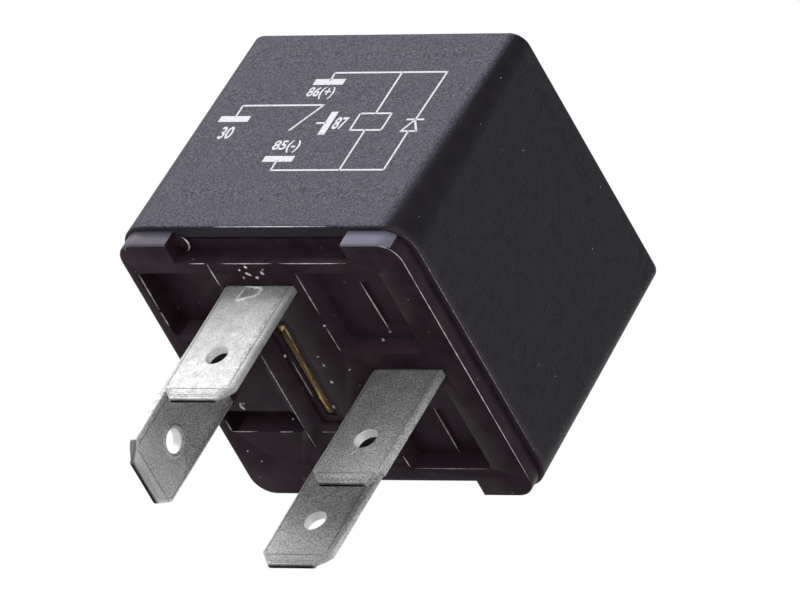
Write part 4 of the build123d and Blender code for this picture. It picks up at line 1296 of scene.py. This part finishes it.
# %% Contact spring
HINGE_X, HINGE_Z, OPEN = 10.08, 16.62, math.radians(4.0)
LEAF, BEND, LEAF_FOOT, LEAF_REACH = 0.3, 1.15, 9.2, 10.2
LEAF_HALF, NARROWING, NECK = 3.5, 1.3, 15.08
LEG_X, ARMATURE_THICK = 10.2, 1.4
leaf_x = LEG_X + LEAF / 2
ridge_z = HINGE_Z + (ARMATURE_THICK + LEAF / 2) / math.cos(OPEN) - (leaf_x - HINGE_X) * math.tan(OPEN)
outwards = np.array((-math.cos(OPEN), math.sin(OPEN)))
tangent_length = BEND * math.tan((math.pi / 2 - OPEN) / 2)
arc_centre = np.array((leaf_x - BEND, ridge_z - tangent_length))
swing = np.linspace(0, math.pi / 2 - OPEN, 16)
upright_z = np.linspace(LEAF_FOOT, ridge_z - tangent_length - 0.1, 28)
upright = np.stack((np.full(28, leaf_x), upright_z), axis=1)
arc = arc_centre + BEND * np.stack((np.cos(swing), np.sin(swing)), axis=1)
free_length = (leaf_x + LEAF_REACH) / math.cos(OPEN) - tangent_length
free = arc[-1] + np.linspace(0.1, free_length, 60)[:, None] * outwards
leaf_path = np.concatenate((upright, arc, free))
run = np.gradient(leaf_path, axis=0)
run /= np.linalg.norm(run, axis=1, keepdims=True)
over_leaf = np.stack((run[:, 1], -run[:, 0]), axis=1)

from_hinge = np.maximum(HINGE_X - leaf_path[:, 0], 0) / math.cos(OPEN)
half_width = LEAF_HALF - NARROWING * np.clip((from_hinge - NECK) / 1.7, 0, 1)
to_end = np.minimum(from_hinge[-1] - from_hinge, leaf_path[:, 1] - LEAF_FOOT)
half_width = half_width - 0.5 + np.sqrt(np.clip(0.25 - np.clip(0.5 - to_end, 0, 0.5) ** 2, 0, 1))
across = np.array((1, 1, 1, -1, -1, -1, -1, -1, -1, 1, 1, 1))
inset = np.array((0.07, 0.02, 0, 0, 0.02, 0.07, 0.07, 0.02, 0, 0, 0.02, 0.07))
through = np.array((0.15, 0.13, 0.08, 0.08, 0.13, 0.15, -0.15, -0.13, -0.08, -0.08, -0.13, -0.15))
leaf_grid = np.stack((leaf_path[:, :1] + through * over_leaf[:, :1],
                      PIN_Y + across * (half_width[:, None] - inset),
                      leaf_path[:, 1:] + through * over_leaf[:, 1:]), axis=-1)
leaf_spring = solid("leaf_spring", [leaf_grid], smooth=35.0)
leaf_spring.data.materials.clear()
leaf_spring.data.materials.append(bronze)
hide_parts("contact_spring")
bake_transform(leaf_spring)
leaf_low, leaf_high = leaf_grid[..., 0].min(), leaf_grid[..., 0].max()
print("leaf reaches from x", round(float(leaf_low), 2), "to", round(float(leaf_high), 2))

# %% [markdown]
# Two rivets hold the leaf at each end. Rounding the edges of the CAD rivets would not give the
# low dome that a hammer leaves, so each is turned from a profile of its own: the shank in its
# hole, a flat underside and a dome. The upper pair is worked out on the level armature and then
# turned about the hinge to its rest place.

# %% Rivets


def rivet(base, shank):
    """Grid of a rivet with its head on +z: the shank below, then a dome 0.5 mm high."""
    dome = np.radians(np.linspace(0, 84, 9))
    radius = np.concatenate(((0.78, 0.78, 1.24), 1.28 * np.cos(dome)))
    height = np.concatenate(((-shank, 0.0, 0.0), 0.10 + 0.38 * np.sin(dome)))
    return turned(radius, height + base, 36)


def at_rest(grid):
    """Turns points about the hinge from the level place to the rest place, up by OPEN."""
    x, z = grid[..., 0] - HINGE_X, grid[..., 2] - HINGE_Z
    return np.stack((HINGE_X + x * math.cos(OPEN) + z * math.sin(OPEN), grid[..., 1],
                     HINGE_Z - x * math.sin(OPEN) + z * math.cos(OPEN)), axis=-1)


RIVET_SIDES = (PIN_Y - 1.8, PIN_Y + 1.8)
UPPER_X, UPPER_SHANK = -4.3, 1.68
LOWER_Z, LOWER_SHANK = 11.2, 1.88
upper_rivet = rivet(HINGE_Z + ARMATURE_THICK + LEAF, UPPER_SHANK)
lower_rivet = rivet(0.0, LOWER_SHANK)[..., [2, 1, 0]] * (1, 1, -1)
upper = [at_rest(upper_rivet + (UPPER_X, y, 0)) for y in RIVET_SIDES]
lower = [lower_rivet + (LEG_X + LEAF, y, LOWER_Z) for y in RIVET_SIDES]
for name, grids, body in (("armature_rivets", upper, "armature"), ("yoke_rivets", lower, "relay")):
    piece = solid("domed_" + name, grids, smooth=35.0)
    stands_for(piece, name, copper, body)
